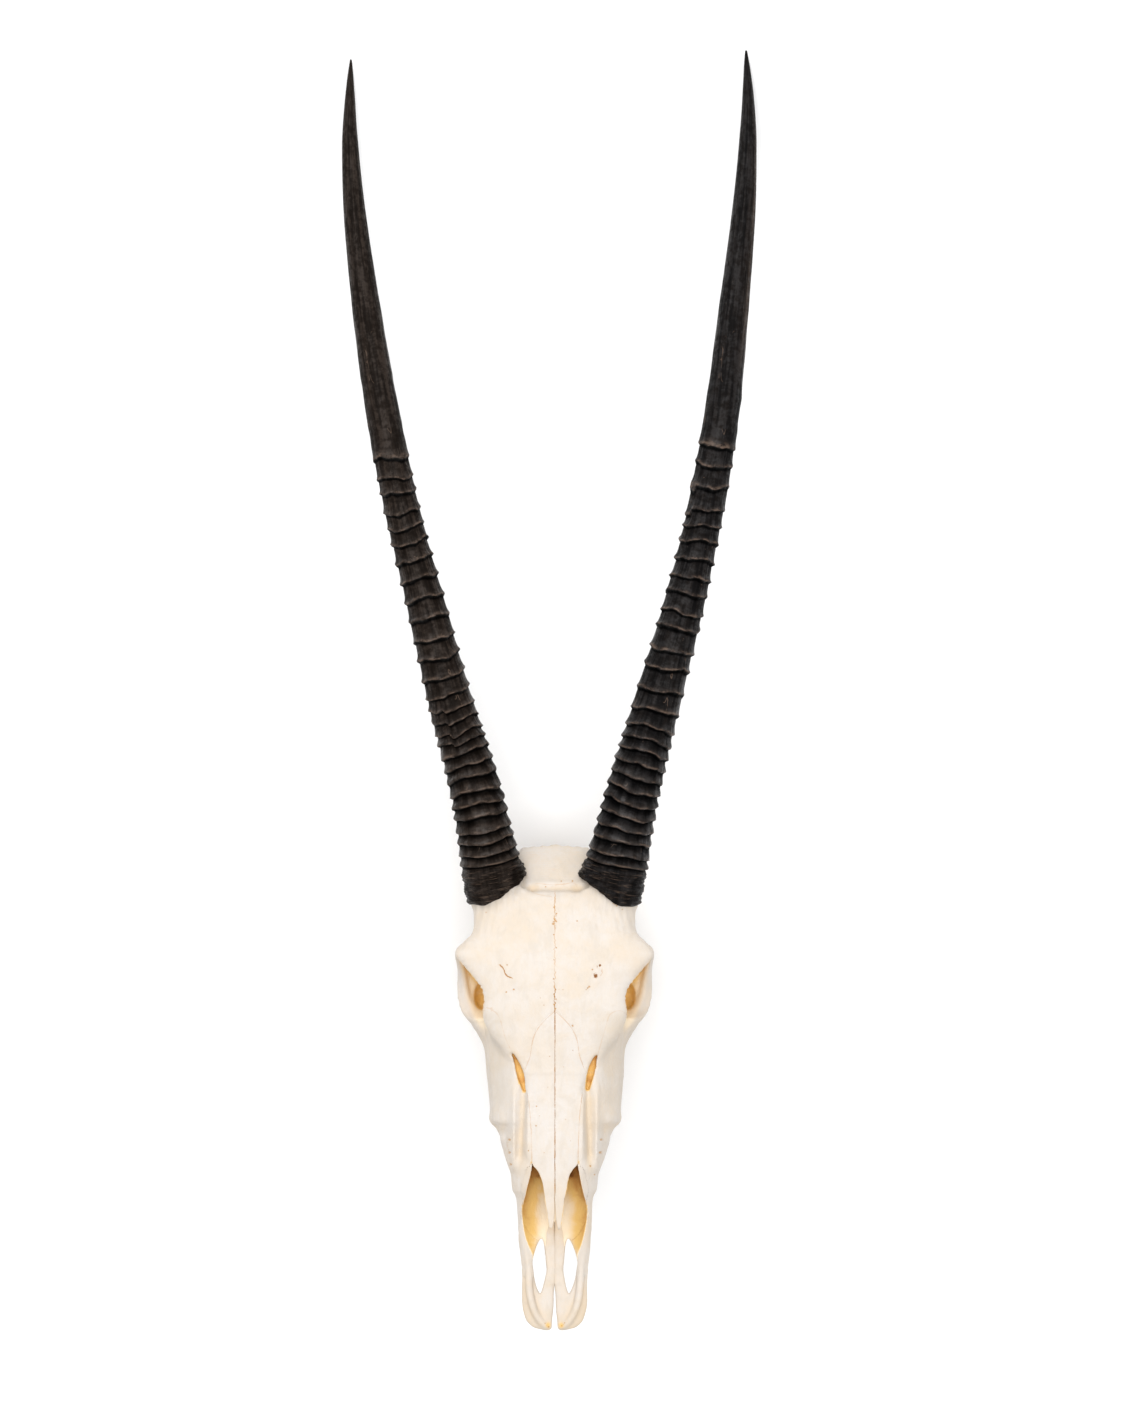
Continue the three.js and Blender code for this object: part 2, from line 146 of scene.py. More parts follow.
def carried(rows, steps=16):
    """Rows of numbers carried smoothly from one to the next by the cubic through each four neighbours."""
    rows = np.asarray(rows, float)
    padded = np.vstack([2 * rows[0] - rows[1], rows, 2 * rows[-1] - rows[-2]])
    a, b, c, d = padded[:-3, None], padded[1:-2, None], padded[2:-1, None], padded[3:, None]
    t = np.linspace(0, 1, steps, endpoint=False)[None, :, None]
    cubic = 0.5 * (2 * b + (c - a) * t + (2 * a - 5 * b + 4 * c - d) * t**2 + (3 * b - a - 3 * c + d) * t**3)
    return np.vstack([cubic.reshape(-1, rows.shape[1]), rows[-1]])


def read(table, along, column=1):
    """A column of a table at places along it, on straight lines between its rows."""
    return np.interp(along, table[:, 0], table[:, column])


def bell(distance, width):
    """1 in the middle, falling to 0 over about twice the width: the exponential of minus the square."""
    return np.exp(-((distance / width) ** 2))


def step(low, high, value):
    """0 below low, 1 above high, and a smooth s curve between: 3 t squared minus 2 t cubed."""
    t = np.clip((value - low) / (high - low), 0, 1)
    return t * t * (3 - 2 * t)


def ripple(place, seed, octaves=3):
    """A repeatable wobble between about -1 and 1: sines of rising pitch and falling height at odd phases."""
    total = 0.0
    for n in range(octaves):
        total = total + np.sin(place * 1.9**n + seed * (1.7 + n)) * 0.6**n
    return total / 1.9


# A distance that lies past the reach of any seam line or small hole.
FAR = 9.0

# A shape is its distance function and its box. The distance is in millimetres and below 0 inside.


def egg(centre, radii, tip=0.0):
    """An ellipsoid tipped about X. Its distance is k(k - 1)/g, with k the scaled radius and g its slope."""
    centre, radii = np.array(centre, float), np.array(radii, float)
    cos, sin = math.cos(math.radians(tip)), math.sin(math.radians(tip))

    def distance(x, y, z):
        along, up = y - centre[1], z - centre[2]
        parts = (x - centre[0], along * cos + up * sin, up * cos - along * sin)
        k = np.sqrt(sum((p / r) ** 2 for p, r in zip(parts, radii)))
        g = np.sqrt(sum((p / r**2) ** 2 for p, r in zip(parts, radii)))
        return k * (k - 1) / np.maximum(g, 1e-6)

    reach = np.array([radii[0], radii[1:].max(), radii[1:].max()])
    return distance, centre - reach, centre + reach


def tube(points, flat=(1, 1, 1)):
    """A chain of round cones through points of x, y, z and radius, squeezed along the axes by flat."""
    points = carried(points, 4)
    flat = np.array(flat, float)

    def distance(x, y, z):
        nearest = None
        for a, b in zip(points[:-1], points[1:]):
            ax, ay, az = ((p - o) / f for p, o, f in zip((x, y, z), a, flat))
            bx, by, bz = (b[:3] - a[:3]) / flat
            t = np.clip((ax * bx + ay * by + az * bz) / (bx**2 + by**2 + bz**2 + 1e-9), 0, 1)
            away = np.sqrt((ax - bx * t) ** 2 + (ay - by * t) ** 2 + (az - bz * t) ** 2)
            gap = away - (a[3] + (b[3] - a[3]) * t)
            nearest = gap if nearest is None else np.minimum(nearest, gap)
        return nearest * flat.min()

    reach = points[:, 3:4] * flat
    return distance, (points[:, :3] - reach).min(0), (points[:, :3] + reach).max(0)


def loft(stations, power=2.0):
    """A body along Y through stations of along, half width, top, bottom and distance out. Each section is a
    squared ellipse: the power sum of x over half width and z over half height is 1 on it."""
    table = carried([list(row) + [0] * (5 - len(row)) for row in stations])

    def distance(x, y, z):
        half, top, bottom, out = (read(table, y, column) for column in (1, 2, 3, 4))
        across, up, high = x - out, z - (top + bottom) / 2, np.maximum((top - bottom) / 2, 0.3)
        share = (np.abs(across / np.maximum(half, 0.3)) ** power + np.abs(up / high) ** power) ** (1 / power)
        side = np.sqrt(across**2 + up**2) * (1 - 1 / np.maximum(share, 1e-2))
        return np.maximum(side, np.maximum(table[0, 0] - y, y - table[-1, 0]))

    low = [(table[:, 4] - table[:, 1]).min(), table[0, 0], table[:, 3].min()]
    high = [(table[:, 4] + table[:, 1]).max(), table[-1, 0], table[:, 2].max()]
    return distance, np.array(low), np.array(high)


class Block:
    """A grid of distances to the surface of a body, which shapes are joined to and cut from."""

    EMPTY = 30
    CLOSED = 0.2
    ROOM = 3

    def __init__(self, xs, ys, zs):
        self.axes = [np.asarray(axis, np.float32) for axis in (xs, ys, zs)]
        self.field = np.full([len(axis) for axis in self.axes], self.EMPTY, np.float32)

    def part(self, low, high, room):
        """The window of the grid round a box with some room, and its places along the three axes."""
        spans = zip(self.axes, low, high)
        window = tuple(slice(*np.searchsorted(axis, (lo - room, hi + room))) for axis, lo, hi in spans)
        x, y, z = (axis[cut] for axis, cut in zip(self.axes, window))
        return window, x[:, None, None], y[None, :, None], z[None, None, :]

    def join(self, shape, blend=2.0):
        """The lesser distance, with a rounded join."""
        self.meet(shape, blend, 1)

    def cut(self, shape, blend=1.0):
        """The greater of the old distance and minus the new one, with a rounded edge."""
        self.meet(shape, blend, -1)

    def meet(self, shape, blend, sign):
        """The lesser of two distances. Where both are near it is lowered, by a quarter of the blend times the
        square of how near they are. For a cut the old distance and the result change sign."""
        distance, low, high = shape
        window, x, y, z = self.part(low, high, blend + self.ROOM)
        new, old = distance(x, y, z), sign * self.field[window]
        near = np.maximum(blend - np.abs(new - old), 0) / blend
        self.field[window] = sign * (np.minimum(new, old) - near**2 * blend / 4)

    def raise_by(self, height, low, high):
        """Moves the surface outwards by height(x, y, z) within a box."""
        window, x, y, z = self.part(low, high, 0)
        self.field[window] -= height(x, y, z)

    def close(self):
        """Ends the body at the block's outer faces."""
        for axis in range(3):
            for end in (0, -1):
                face = [slice(None)] * 3
                face[axis] = end
                self.field[tuple(face)] = np.maximum(self.field[tuple(face)], self.CLOSED)

    def mirror(self):
        """Adds the half of the block at X below 0 to the half above it."""
        self.axes[0] = np.concatenate([-self.axes[0][::-1], self.axes[0]])
        self.field = np.concatenate([self.field[::-1], self.field])

    def hollowness(self, reach=4):
        """How much of the space round each point of the skin is filled, over a box of reach cells each way: a
        running mean along each axis in turn."""
        total = (self.field < 0).astype(np.float32)
        span = 2 * reach + 1
        for axis in range(3):
            before = np.repeat(total.take([0], axis), reach + 1, axis)
            after = np.repeat(total.take([-1], axis), reach, axis)
            sums = np.cumsum(np.concatenate([before, total, after], axis), axis, dtype=np.float64)
            count = total.shape[axis]
            total = (sums.take(range(span, span + count), axis) - sums.take(range(count), axis)) / span
            total = total.astype(np.float32)
        return total[tuple(self.cells.T)]

    def skin(self):
        """The surface as points and four-sided faces. Each grid cell that the surface crosses has one point,
        the mean of the crossings on its edges. Each crossed edge has one face, between the four cells round
        it."""
        field = self.field
        shape = tuple(n - 1 for n in field.shape)
        total = np.zeros(shape + (4,), np.float32)
        inside = field < 0
        crossings = []
        for axis in range(3):
            first = tuple(slice(0, -1) if n == axis else slice(None) for n in range(3))
            second = tuple(slice(1, None) if n == axis else slice(None) for n in range(3))
            at = np.argwhere(inside[first] != inside[second])
            here, there = field[first][tuple(at.T)], field[second][tuple(at.T)]
            share = here / (here - there)
            place = np.stack([self.axes[n][at[:, n]] for n in range(3)] + [np.ones(len(at))], 1)
            line = self.axes[axis]
            place[:, axis] += share * (line[at[:, axis] + 1] - line[at[:, axis]])
            crossings.append((axis, at, here < 0))
            others = [n for n in range(3) if n != axis]
            for back_a in (0, 1):
                for back_b in (0, 1):
                    cell = at.copy()
                    cell[:, others[0]] -= back_a
                    cell[:, others[1]] -= back_b
                    fits = ((cell >= 0) & (cell < shape)).all(1)
                    np.add.at(total, tuple(cell[fits].T), place[fits])
        used = total[..., 3] > 0
        number = np.full(shape, -1, np.int32)
        number[used] = np.arange(used.sum())
        points = total[used][:, :3] / total[used][:, 3:]
        faces = []
        for axis, at, outward in crossings:
            b, c = (axis + 1) % 3, (axis + 2) % 3
            corners = []
            for back_b, back_c in ((1, 1), (0, 1), (0, 0), (1, 0)):
                cell = at.copy()
                cell[:, b] -= back_b
                cell[:, c] -= back_c
                corners.append(number[tuple(cell.T)])
            four = np.stack(corners, 1)
            four[~outward] = four[~outward][:, ::-1]
            faces.append(four)
        self.cells = np.argwhere(used)
        return points.astype(float), np.concatenate(faces)


def eased(points, faces, rounds, share=0.5):
    """Points moved a share of the way to the mean of their neighbours along the edges, in some rounds."""
    a = faces.ravel()
    b = np.roll(faces, 1, axis=1).ravel()
    count = np.bincount(a, minlength=len(points)) + np.bincount(b, minlength=len(points))
    for _ in range(rounds):
        total = [np.bincount(a, points[b, n], len(points)) + np.bincount(b, points[a, n], len(points))
                 for n in range(3)]
        points = points + share * (np.stack(total, 1) / np.maximum(count, 1)[:, None] - points)
    return points


def wrapped(grid):
    """Faces of a grid of rows by columns whose columns close on themselves and whose end rows are single
    points repeated: four-sided between rows, three-sided at both ends."""
    rows, columns = grid
    ring = np.arange(columns)
    after = np.roll(ring, -1)

    def at(row, column):
        return 1 + (row - 1) * columns + column

    middle = np.arange(1, rows - 2)[:, None]
    corners = [at(middle, ring), at(middle, after), at(middle + 1, after), at(middle + 1, ring)]
    final = np.full(columns, 1 + (rows - 2) * columns)
    first = np.stack([np.zeros(columns, int), at(1, after), at(1, ring)], 1)
    last = np.stack([final, at(rows - 2, ring), at(rows - 2, after)], 1)
    return np.stack(corners, -1).reshape(-1, 4), np.concatenate([first, last])


def turned_round(faces):
    """Faces with their corners in the other order."""
    return tuple(kind[:, ::-1] for kind in faces)


def listed(grid):
    """The values of such a grid as one list, with each end row's single point once."""
    return np.concatenate([grid[0, :1], grid[1:-1].reshape(-1, *grid.shape[2:]), grid[-1, :1]])


def piece(name, points, faces, paint, replaced, values):
    """A smooth mesh object made from points in the skull's frame, in place of its CAD node. Faces are a tuple
    of arrays, one for each number of corners, and values are what the paint reads at each point."""
    mesh = bpy.data.meshes.new(name)
    sizes = np.concatenate([np.full(len(f), f.shape[1]) for f in faces]).astype(np.int32)
    corners = np.concatenate([f.ravel() for f in faces]).astype(np.int32)
    mesh.vertices.add(len(points))
    mesh.vertices.foreach_set("co", on_table(points).astype(np.float32).ravel())
    mesh.loops.add(len(corners))
    mesh.loops.foreach_set("vertex_index", corners)
    mesh.polygons.add(len(sizes))
    mesh.polygons.foreach_set("loop_start", np.concatenate([[0], np.cumsum(sizes)[:-1]]).astype(np.int32))
    mesh.polygons.foreach_set("use_smooth", np.ones(len(sizes), bool))
    mesh.update(calc_edges=True)
    mesh.validate()
    for key, value in values.items():
        value = np.asarray(value, np.float32)
        kind = "FLOAT" if value.ndim == 1 else "FLOAT_VECTOR"
        layer = mesh.attributes.new(key, kind, "POINT")
        layer.data.foreach_set("value" if kind == "FLOAT" else "vector", value.ravel())
    mesh.materials.append(paint)
    made = bpy.data.objects.new(name, mesh)
    bpy.context.scene.collection.objects.link(made)
    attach(made, "root")
    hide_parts(replaced)


# --------------------------------------------------------------------------------------------------
# Materials
# --------------------------------------------------------------------------------------------------


class Paint:
    """A material's nodes, written as sums: each method adds a node and gives its output socket."""

    def __init__(self, name, roughness, specular=0.5):
        self.material = bpy.data.materials.new(name)
        self.material.use_nodes = True
        self.nodes = self.material.node_tree.nodes
        self.links = self.material.node_tree.links
        self.shader = self.nodes["Principled BSDF"]
        self.shader.inputs["Roughness"].default_value = roughness
        self.shader.inputs["Specular IOR Level"].default_value = specular

    def put(self, socket, value):
        if isinstance(value, bpy.types.NodeSocket):
            self.links.new(value, socket)
        elif isinstance(value, (int, float)) and socket.type in ("RGBA", "VECTOR"):
            socket.default_value = (value,) * len(socket.default_value)
        elif socket.type == "RGBA" and len(value) == 3:
            socket.default_value = (*value, 1)
        else:
            socket.default_value = value

    def place(self, scale=(1, 1, 1)):
        """Object coordinates, stretched."""
        return self.stretched(self.nodes.new("ShaderNodeTexCoord").outputs["Object"], scale)

    def value(self, name, vector=False):
        """A value of the mesh's points."""
        attribute = self.nodes.new("ShaderNodeAttribute")
        attribute.attribute_name = name
        return attribute.outputs["Vector" if vector else "Fac"]

    def stretched(self, vector, scale):
        mapping = self.nodes.new("ShaderNodeMapping")
        self.links.new(vector, mapping.inputs["Vector"])
        mapping.inputs["Scale"].default_value = scale
        return mapping.outputs["Vector"]

    def noise(self, vector, scale, detail=3.0, rough=0.55, distortion=0.0):
        node = self.nodes.new("ShaderNodeTexNoise")
        self.links.new(vector, node.inputs["Vector"])
        numbers = {"Scale": scale, "Detail": detail, "Roughness": rough, "Distortion": distortion}
        for key, number in numbers.items():
            node.inputs[key].default_value = number
        return node.outputs["Fac"]

    def cells(self, vector, scale):
        """Distance to the middle of the nearest of many scattered cells."""
        node = self.nodes.new("ShaderNodeTexVoronoi")
        self.links.new(vector, node.inputs["Vector"])
        node.inputs["Scale"].default_value = scale
        return node.outputs["Distance"]

    def between(self, value, low, high, to_low=0.0, to_high=1.0):
        """A value carried from one range to another by a smooth s curve."""
        node = self.nodes.new("ShaderNodeMapRange")
        node.interpolation_type = "SMOOTHSTEP"
        numbers = (value, low, high, to_low, to_high)
        for key, number in zip(("Value", "From Min", "From Max", "To Min", "To Max"), numbers):
            self.put(node.inputs[key], number)
        return node.outputs["Result"]

    def sum(self, kind, a, b=0.0):
        node = self.nodes.new("ShaderNodeMath")
        node.operation = kind
        self.put(node.inputs[0], a)
        self.put(node.inputs[1], b)
        return node.outputs["Value"]

    def times(self, a, b):
        return self.sum("MULTIPLY", a, b)

    def blend(self, share, a, b):
        node = self.nodes.new("ShaderNodeMix")
        node.data_type = "RGBA"
        self.put(node.inputs[0], share)
        self.put(node.inputs[6], a)
        self.put(node.inputs[7], b)
        return node.outputs[2]

    def coats(self, colour, coats):
        """A colour under coats, each a share and a tint."""
        for share, tint in coats:
            colour = self.blend(share, colour, tint)
        return colour

    def bump(self, height, distance, strength, under=None):
        """Normals over a height times a distance in millimetres."""
        node = self.nodes.new("ShaderNodeBump")
        node.inputs["Strength"].default_value = strength
        node.inputs["Distance"].default_value = distance * MM
        self.links.new(height, node.inputs["Height"])
        if under is not None:
            self.links.new(under, node.inputs["Normal"])
        return node.outputs["Normal"]

    def bumps(self, *heights):
        """Normals over several heights, each with its distance and strength."""
        normal = None
        for height, distance, strength in heights:
            normal = self.bump(height, distance, strength, normal)
        return normal

    def finish(self, colour, normal, roughness=None, shine=None):
        self.put(self.shader.inputs["Base Color"], colour)
        self.links.new(normal, self.shader.inputs["Normal"])
        if roughness is not None:
            self.put(self.shader.inputs["Roughness"], roughness)
        if shine is not None:
            self.put(self.shader.inputs["Specular IOR Level"], shine)
        return self.material


def dimmed(colour, share):
    """A colour times a share."""
    return tuple(share * part for part in colour)


def seam_line(paint, place, ragged):
    """How much of a ragged line lies along the seams: 1 on it and 0 past an uneven width."""
    width = paint.between(paint.noise(place, 130, 2, 0.5), 0.35, 0.65, 0.14, 0.55)
    away = paint.sum("ABSOLUTE", paint.sum("ADD", paint.value("seam"), paint.times(ragged, 0.9)))
    line = paint.sum("SUBTRACT", 1.0, paint.between(paint.sum("DIVIDE", away, width), 0.45, 1.3))
    return paint.times(line, paint.value("seam_share"))


def small_hole(paint, ragged):
    """How much of a small hole is there, painted as a brown disc that stands for the shade in it, and how
    much of the darker painted shade in the middle that some of them have.
    """
    offset = paint.nodes.new("ShaderNodeSeparateXYZ")
    paint.links.new(paint.value("pit", vector=True), offset.inputs[0])
    across, along, near = (offset.outputs[axis] for axis in "XYZ")
    square = paint.sum("ADD", paint.times(across, across), paint.times(along, along))
    gap = paint.sum("ADD", paint.sum("SQRT", square), paint.times(ragged, 1.6))
    hole = paint.times(paint.between(gap, 1.25, 0.55), paint.between(near, 0.0, 1.0))
    return hole, paint.times(hole, paint.between(near, 1.2, 1.8))


def bone_paint(name, warm=0.4):
    """Bleached bone: off-white with faint warm clouds, fine grain along the skull, tiny pores and brown seam
    lines.
    Small holes are painted brown discs, some with darker middles, standing for the shade inside them. Hollows
    carry golden to brown staining mixed with painted shade, an ochre tint in crevices that is partly painted
    shade, and a painted lighter tint where a hollow's floor would look too dark."""
    colours = bpy.context.scene.skull_colours
    bone, ochre, grey = tuple(colours.bone), tuple(colours.bone_warm), tuple(colours.bone_grey)
    brown, deep = tuple(colours.hollow), tuple(colours.deep)
    paint = Paint(name, 0.62, 0.25)
    place = paint.place()
    cloud = paint.noise(place, 22, 4, 0.6)
    patch = paint.noise(place, 60, 5, 0.65, 0.6)
    blotch = paint.noise(paint.place((1, 0.5, 1)), 110, 4, 0.6, 0.5)
    fibre = paint.noise(paint.place((1, 0.13, 1)), 520, 5, 0.6)
    mottle = paint.noise(place, 260, 4, 0.6)
    pores = paint.times(paint.between(paint.cells(place, 420), 0.14, 0.06), paint.between(patch, 0.56, 0.7))
    ragged = paint.sum("SUBTRACT", paint.noise(place, 900, 3, 0.6), 0.5)
    line = seam_line(paint, place, ragged)
    hole, deep_hole_shade = small_hole(paint, ragged)
    stain = paint.times(paint.value("stain"), paint.between(patch, 0.3, 0.7, 0.78, 1.3))
    colour = paint.coats(bone, (
        (paint.times(paint.between(cloud, 0.46, 0.68), warm), ochre),
        (paint.times(paint.value("warm"), paint.between(patch, 0.25, 0.6, 0.45, 1.0)), ochre),
        (paint.times(paint.value("grey"), paint.between(patch, 0.25, 0.6, 0.3, 1.0)), grey),
        (paint.between(fibre, 0.3, 0.75, 0.0, 0.2), ochre),
        (paint.between(patch, 0.45, 0.68, 0.0, 0.22), ochre),
        (paint.between(blotch, 0.46, 0.68, 0.0, 0.5), grey),
        (paint.between(mottle, 0.42, 0.75, 0.0, 0.1), grey),
        (paint.times(pores, 0.35), brown),
        # Ochre where much bone surrounds the point, in creases and crevices: partly staining, partly painted
        # shade.
        (paint.between(paint.value("hollow"), 0.56, 0.8, 0.0, 0.6), ochre),
        # A painted lighter tint that lifts the shade on the nose floor and behind the rims of the eye
        # sockets.
        (paint.value("cream"), tuple(colours.cream)),
        # Golden, brown and darkest coats in hollows: partly real staining, partly painted shade deep in the
        # nose, eye sockets, slits and braincase.
        (paint.between(stain, 0.0, 0.36), tuple(colours.gold)),
        (paint.between(stain, 0.36, 0.72), brown),
        (paint.between(stain, 0.66, 1.05), deep),
        (paint.times(line, 0.85), dimmed(brown, 0.85)),
        (paint.between(line, 0.8, 1.2), deep),
        # Painted shade of small holes: a brown disc, and on some a darker middle.
        (paint.times(hole, 0.8), dimmed(brown, 0.8)),
        (deep_hole_shade, deep),
    ))
    normal = paint.bumps(
        (fibre, 0.22, 0.5), (mottle, 0.25, 0.4), (patch, 1.6, 0.5), (blotch, 1.0, 0.6),
        (paint.sum("SUBTRACT", 1.0, pores), 0.3, 0.5),
        (paint.sum("SUBTRACT", 1.0, line), 0.2, 0.6),
        (paint.sum("SUBTRACT", 1.0, hole), 0.3, 0.7),
    )
    return paint.finish(colour, normal, paint.between(mottle, 0.3, 0.7, 0.52, 0.7))


def horn_paint(name, base):
    """Horn: near black with streaky grain and fine fibres along it, brown rubbed lips on the rings that also
    carry a painted highlight, a painted highlight on the crests and painted shade in and towards the grooves,
    layers at its foot, and a few pale flecks and scratches."""
    worn_and_lit = tuple(bpy.context.scene.skull_colours.horn_worn)
    tan = dimmed(worn_and_lit, 3)
    # Lighter colour for the ring crests: a painted highlight where the rings catch the light.
    lit_crest_colour = tuple(0.4 * w + 1.5 * b for w, b in zip(worn_and_lit, base))
    paint = Paint(name, 0.42, 0.1)
    wrap = paint.value("wrap", vector=True)
    lip, groove, brown, foot, crest = map(paint.value, ("lip", "groove", "brown", "foot", "crest"))
    fibre = paint.noise(paint.stretched(wrap, (1, 1, 0.05)), 900, 4, 0.6)
    streak = paint.noise(paint.stretched(wrap, (1, 1, 0.1)), 210, 5, 0.65)
    lumps = paint.noise(paint.stretched(wrap, (0.6, 0.6, 1)), 230, 4, 0.65)
    wear_and_glint = paint.noise(paint.stretched(wrap, (0.5, 0.5, 1)), 300, 4, 0.65)
    layers = paint.noise(paint.stretched(wrap, (0.1, 0.1, 1)), 1000, 5, 0.65)
    bends = paint.noise(paint.stretched(wrap, (1, 1, 0.4)), 46, 3, 0.5)
    cloud = paint.noise(wrap, 70, 4, 0.6)
    grit = paint.noise(wrap, 700, 3, 0.6)
    grain = paint.times(streak, lumps)
    curl = paint.sum("ABSOLUTE", paint.sum("SUBTRACT", bends, 0.5))
    cloudy = paint.between(cloud, 0.35, 0.6, 0.15, 0.4)
    colour = paint.coats(dimmed(base, 0.7), (
        (paint.between(grain, 0.2, 0.36, 0.0, 0.8), dimmed(base, 3)),
        (paint.between(fibre, 0.52, 0.74, 0.0, 0.35), dimmed(base, 4)),
        (paint.times(brown, paint.between(streak, 0.35, 0.65, 0.2, 1.0)), worn_and_lit),
        # Painted highlight: lighter on the crests of the rings.
        (paint.times(paint.between(crest, 0.4, 1.0), cloudy), lit_crest_colour),
        # Painted shade: darker where the crest is low, on the flank down into the groove.
        (paint.between(crest, 0.4, -0.1, 0.0, 0.8), dimmed(base, 0.12)),
        # Brown lips of the rings: partly rubbed horn, partly a painted highlight along the edge that catches
        # the light.
        (paint.times(lip, paint.between(wear_and_glint, 0.42, 0.64, 0.03, 0.9)), dimmed(worn_and_lit, 2.2)),
        (paint.times(foot, paint.between(layers, 0.54, 0.7, 0.0, 0.6)), tan),
        (paint.times(paint.between(grit, 0.7, 0.78), paint.between(cloud, 0.5, 0.6, 0.0, 0.7)), tan),
        (paint.times(paint.between(curl, 0.006, 0.002), paint.between(cloud, 0.57, 0.65, 0.0, 0.4)), tan),
        # Painted shade in the grooves under the ring lips.
        (paint.between(groove, 0.1, 0.8), dimmed(base, 0.12)),
    ))
    normal = paint.bumps(
        (fibre, 0.3, 0.7), (streak, 0.3, 0.5), (grit, 0.3, 0.6), (lumps, 0.9, 0.6), (cloud, 0.5, 0.3),
        (paint.times(layers, foot), 1.4, 1.0),
    )
    roughness = paint.sum("ADD", paint.between(grain, 0.18, 0.36, 0.52, 0.34), paint.times(groove, 0.4))
    grainy = paint.between(grain, 0.16, 0.36, 0.25, 0.9)
    shine = paint.times(paint.between(crest, -0.1, 1.0, 0.04, 0.27), grainy)
    return paint.finish(colour, normal, roughness, shine)


def tooth_paint(name):
    """Enamel: pale yellow-white, browner towards the chewing face and in its folds, with fine growth lines
    down it.
    """
    colours = bpy.context.scene.skull_colours
    paint = Paint(name, 0.3, 0.5)
    lines = paint.noise(paint.place((1, 1, 0.15)), 420, 3, 0.6)
    cloud = paint.noise(paint.place(), 180, 4, 0.6)
    colour = paint.coats(tuple(colours.tooth), (
        (paint.between(lines, 0.4, 0.75, 0.0, 0.5), tuple(colours.bone_warm)),
        (paint.times(paint.value("stain"), paint.between(cloud, 0.3, 0.6, 0.5, 1.0)), tuple(colours.deep)),
    ))
    return paint.finish(colour, paint.bump(lines, 0.3, 0.5))


# --------------------------------------------------------------------------------------------------
# Nose bones
# --------------------------------------------------------------------------------------------------

NOSE_OUTLINE = carried([
    [86, 4.8], [92, 5.8], [100, 6.8], [111, 8.4], [121, 10], [128, 11.4], [133, 13.4], [136.5, 16],
    [139, 18.2], [143, 19.2], [155, 19.6], [172, 20.2], [190, 21.6], [200, 23.4], [208, 25], [217, 25.8],
    [223, 23.8], [231, 20.8], [240, 19.4], [247, 17.8], [254, 14.4], [260, 9.6], [265, 4.6], [268, 1.0],
], 4)
NOSE_INNER = carried([
    [86, 2.4], [92, 1.2], [100, 0.5], [110, 0.25], [124, 0.12], [150, 0.03], [268, 0.03],
], 4)
NOSE_CROWN = carried([[86, -8], [112, -4], [137, -1.2], [164, 0.2], [200, 0.6], [244, 1.4], [268, 2.6]])
NOSE_THICKNESS = 2.6
NOSE_LAP = 1.4


@cache
def face_heights():
    """Height of the face over a grid of places across and along, before anything is cut from it: where the
    field of the muzzle and forehead, read down each column, first turns from outside to inside."""
    block = Block(np.arange(0, 36, 1.5), np.arange(128, 274, 1.5), np.arange(-14, 8, 1.0))
    block.join(loft(MUZZLE, MUZZLE_POWER))
    block.join(loft(FOREHEAD, FOREHEAD_POWER), 9)
    block.raise_by(face_relief, [0, 128, -14], [36, 274, 8])
    inside = block.field < 0
    top = inside.shape[2] - 1 - np.argmax(inside[:, :, ::-1], axis=2)
    top = np.clip(top, 0, inside.shape[2] - 2)
    here = np.take_along_axis(block.field, top[..., None], 2)[..., 0]
    over = np.take_along_axis(block.field, top[..., None] + 1, 2)[..., 0]
    return block.axes[0], block.axes[1], block.axes[2][top] + here / (here - over)


def nose_top(across, along):
    """Height of the nose bones' upper face: level with the face round them, and in front of it the crown of
    the nose, falling off with the square of the distance out and dished a little beside the midline."""
    xs, ys, heights = face_heights()
    i = np.clip(np.interp(across, xs, np.arange(len(xs))), 0, len(xs) - 1.001)
    j = np.clip(np.interp(along, ys, np.arange(len(ys))), 0, len(ys) - 1.001)
    a, b = i.astype(int), j.astype(int)
    u, v = i - a, j - b
    front = heights[a, b] * (1 - u) + heights[a + 1, b] * u
    back = heights[a, b + 1] * (1 - u) + heights[a + 1, b + 1] * u
    level = front * (1 - v) + back * v
    fall = 4.2 * (across / 25) ** 2
    free = read(NOSE_CROWN, along) - fall - 0.4 * bell(np.abs(across) - 4, 3) * step(90, 130, along)
    return free + (level - free) * step(134, 152, along)


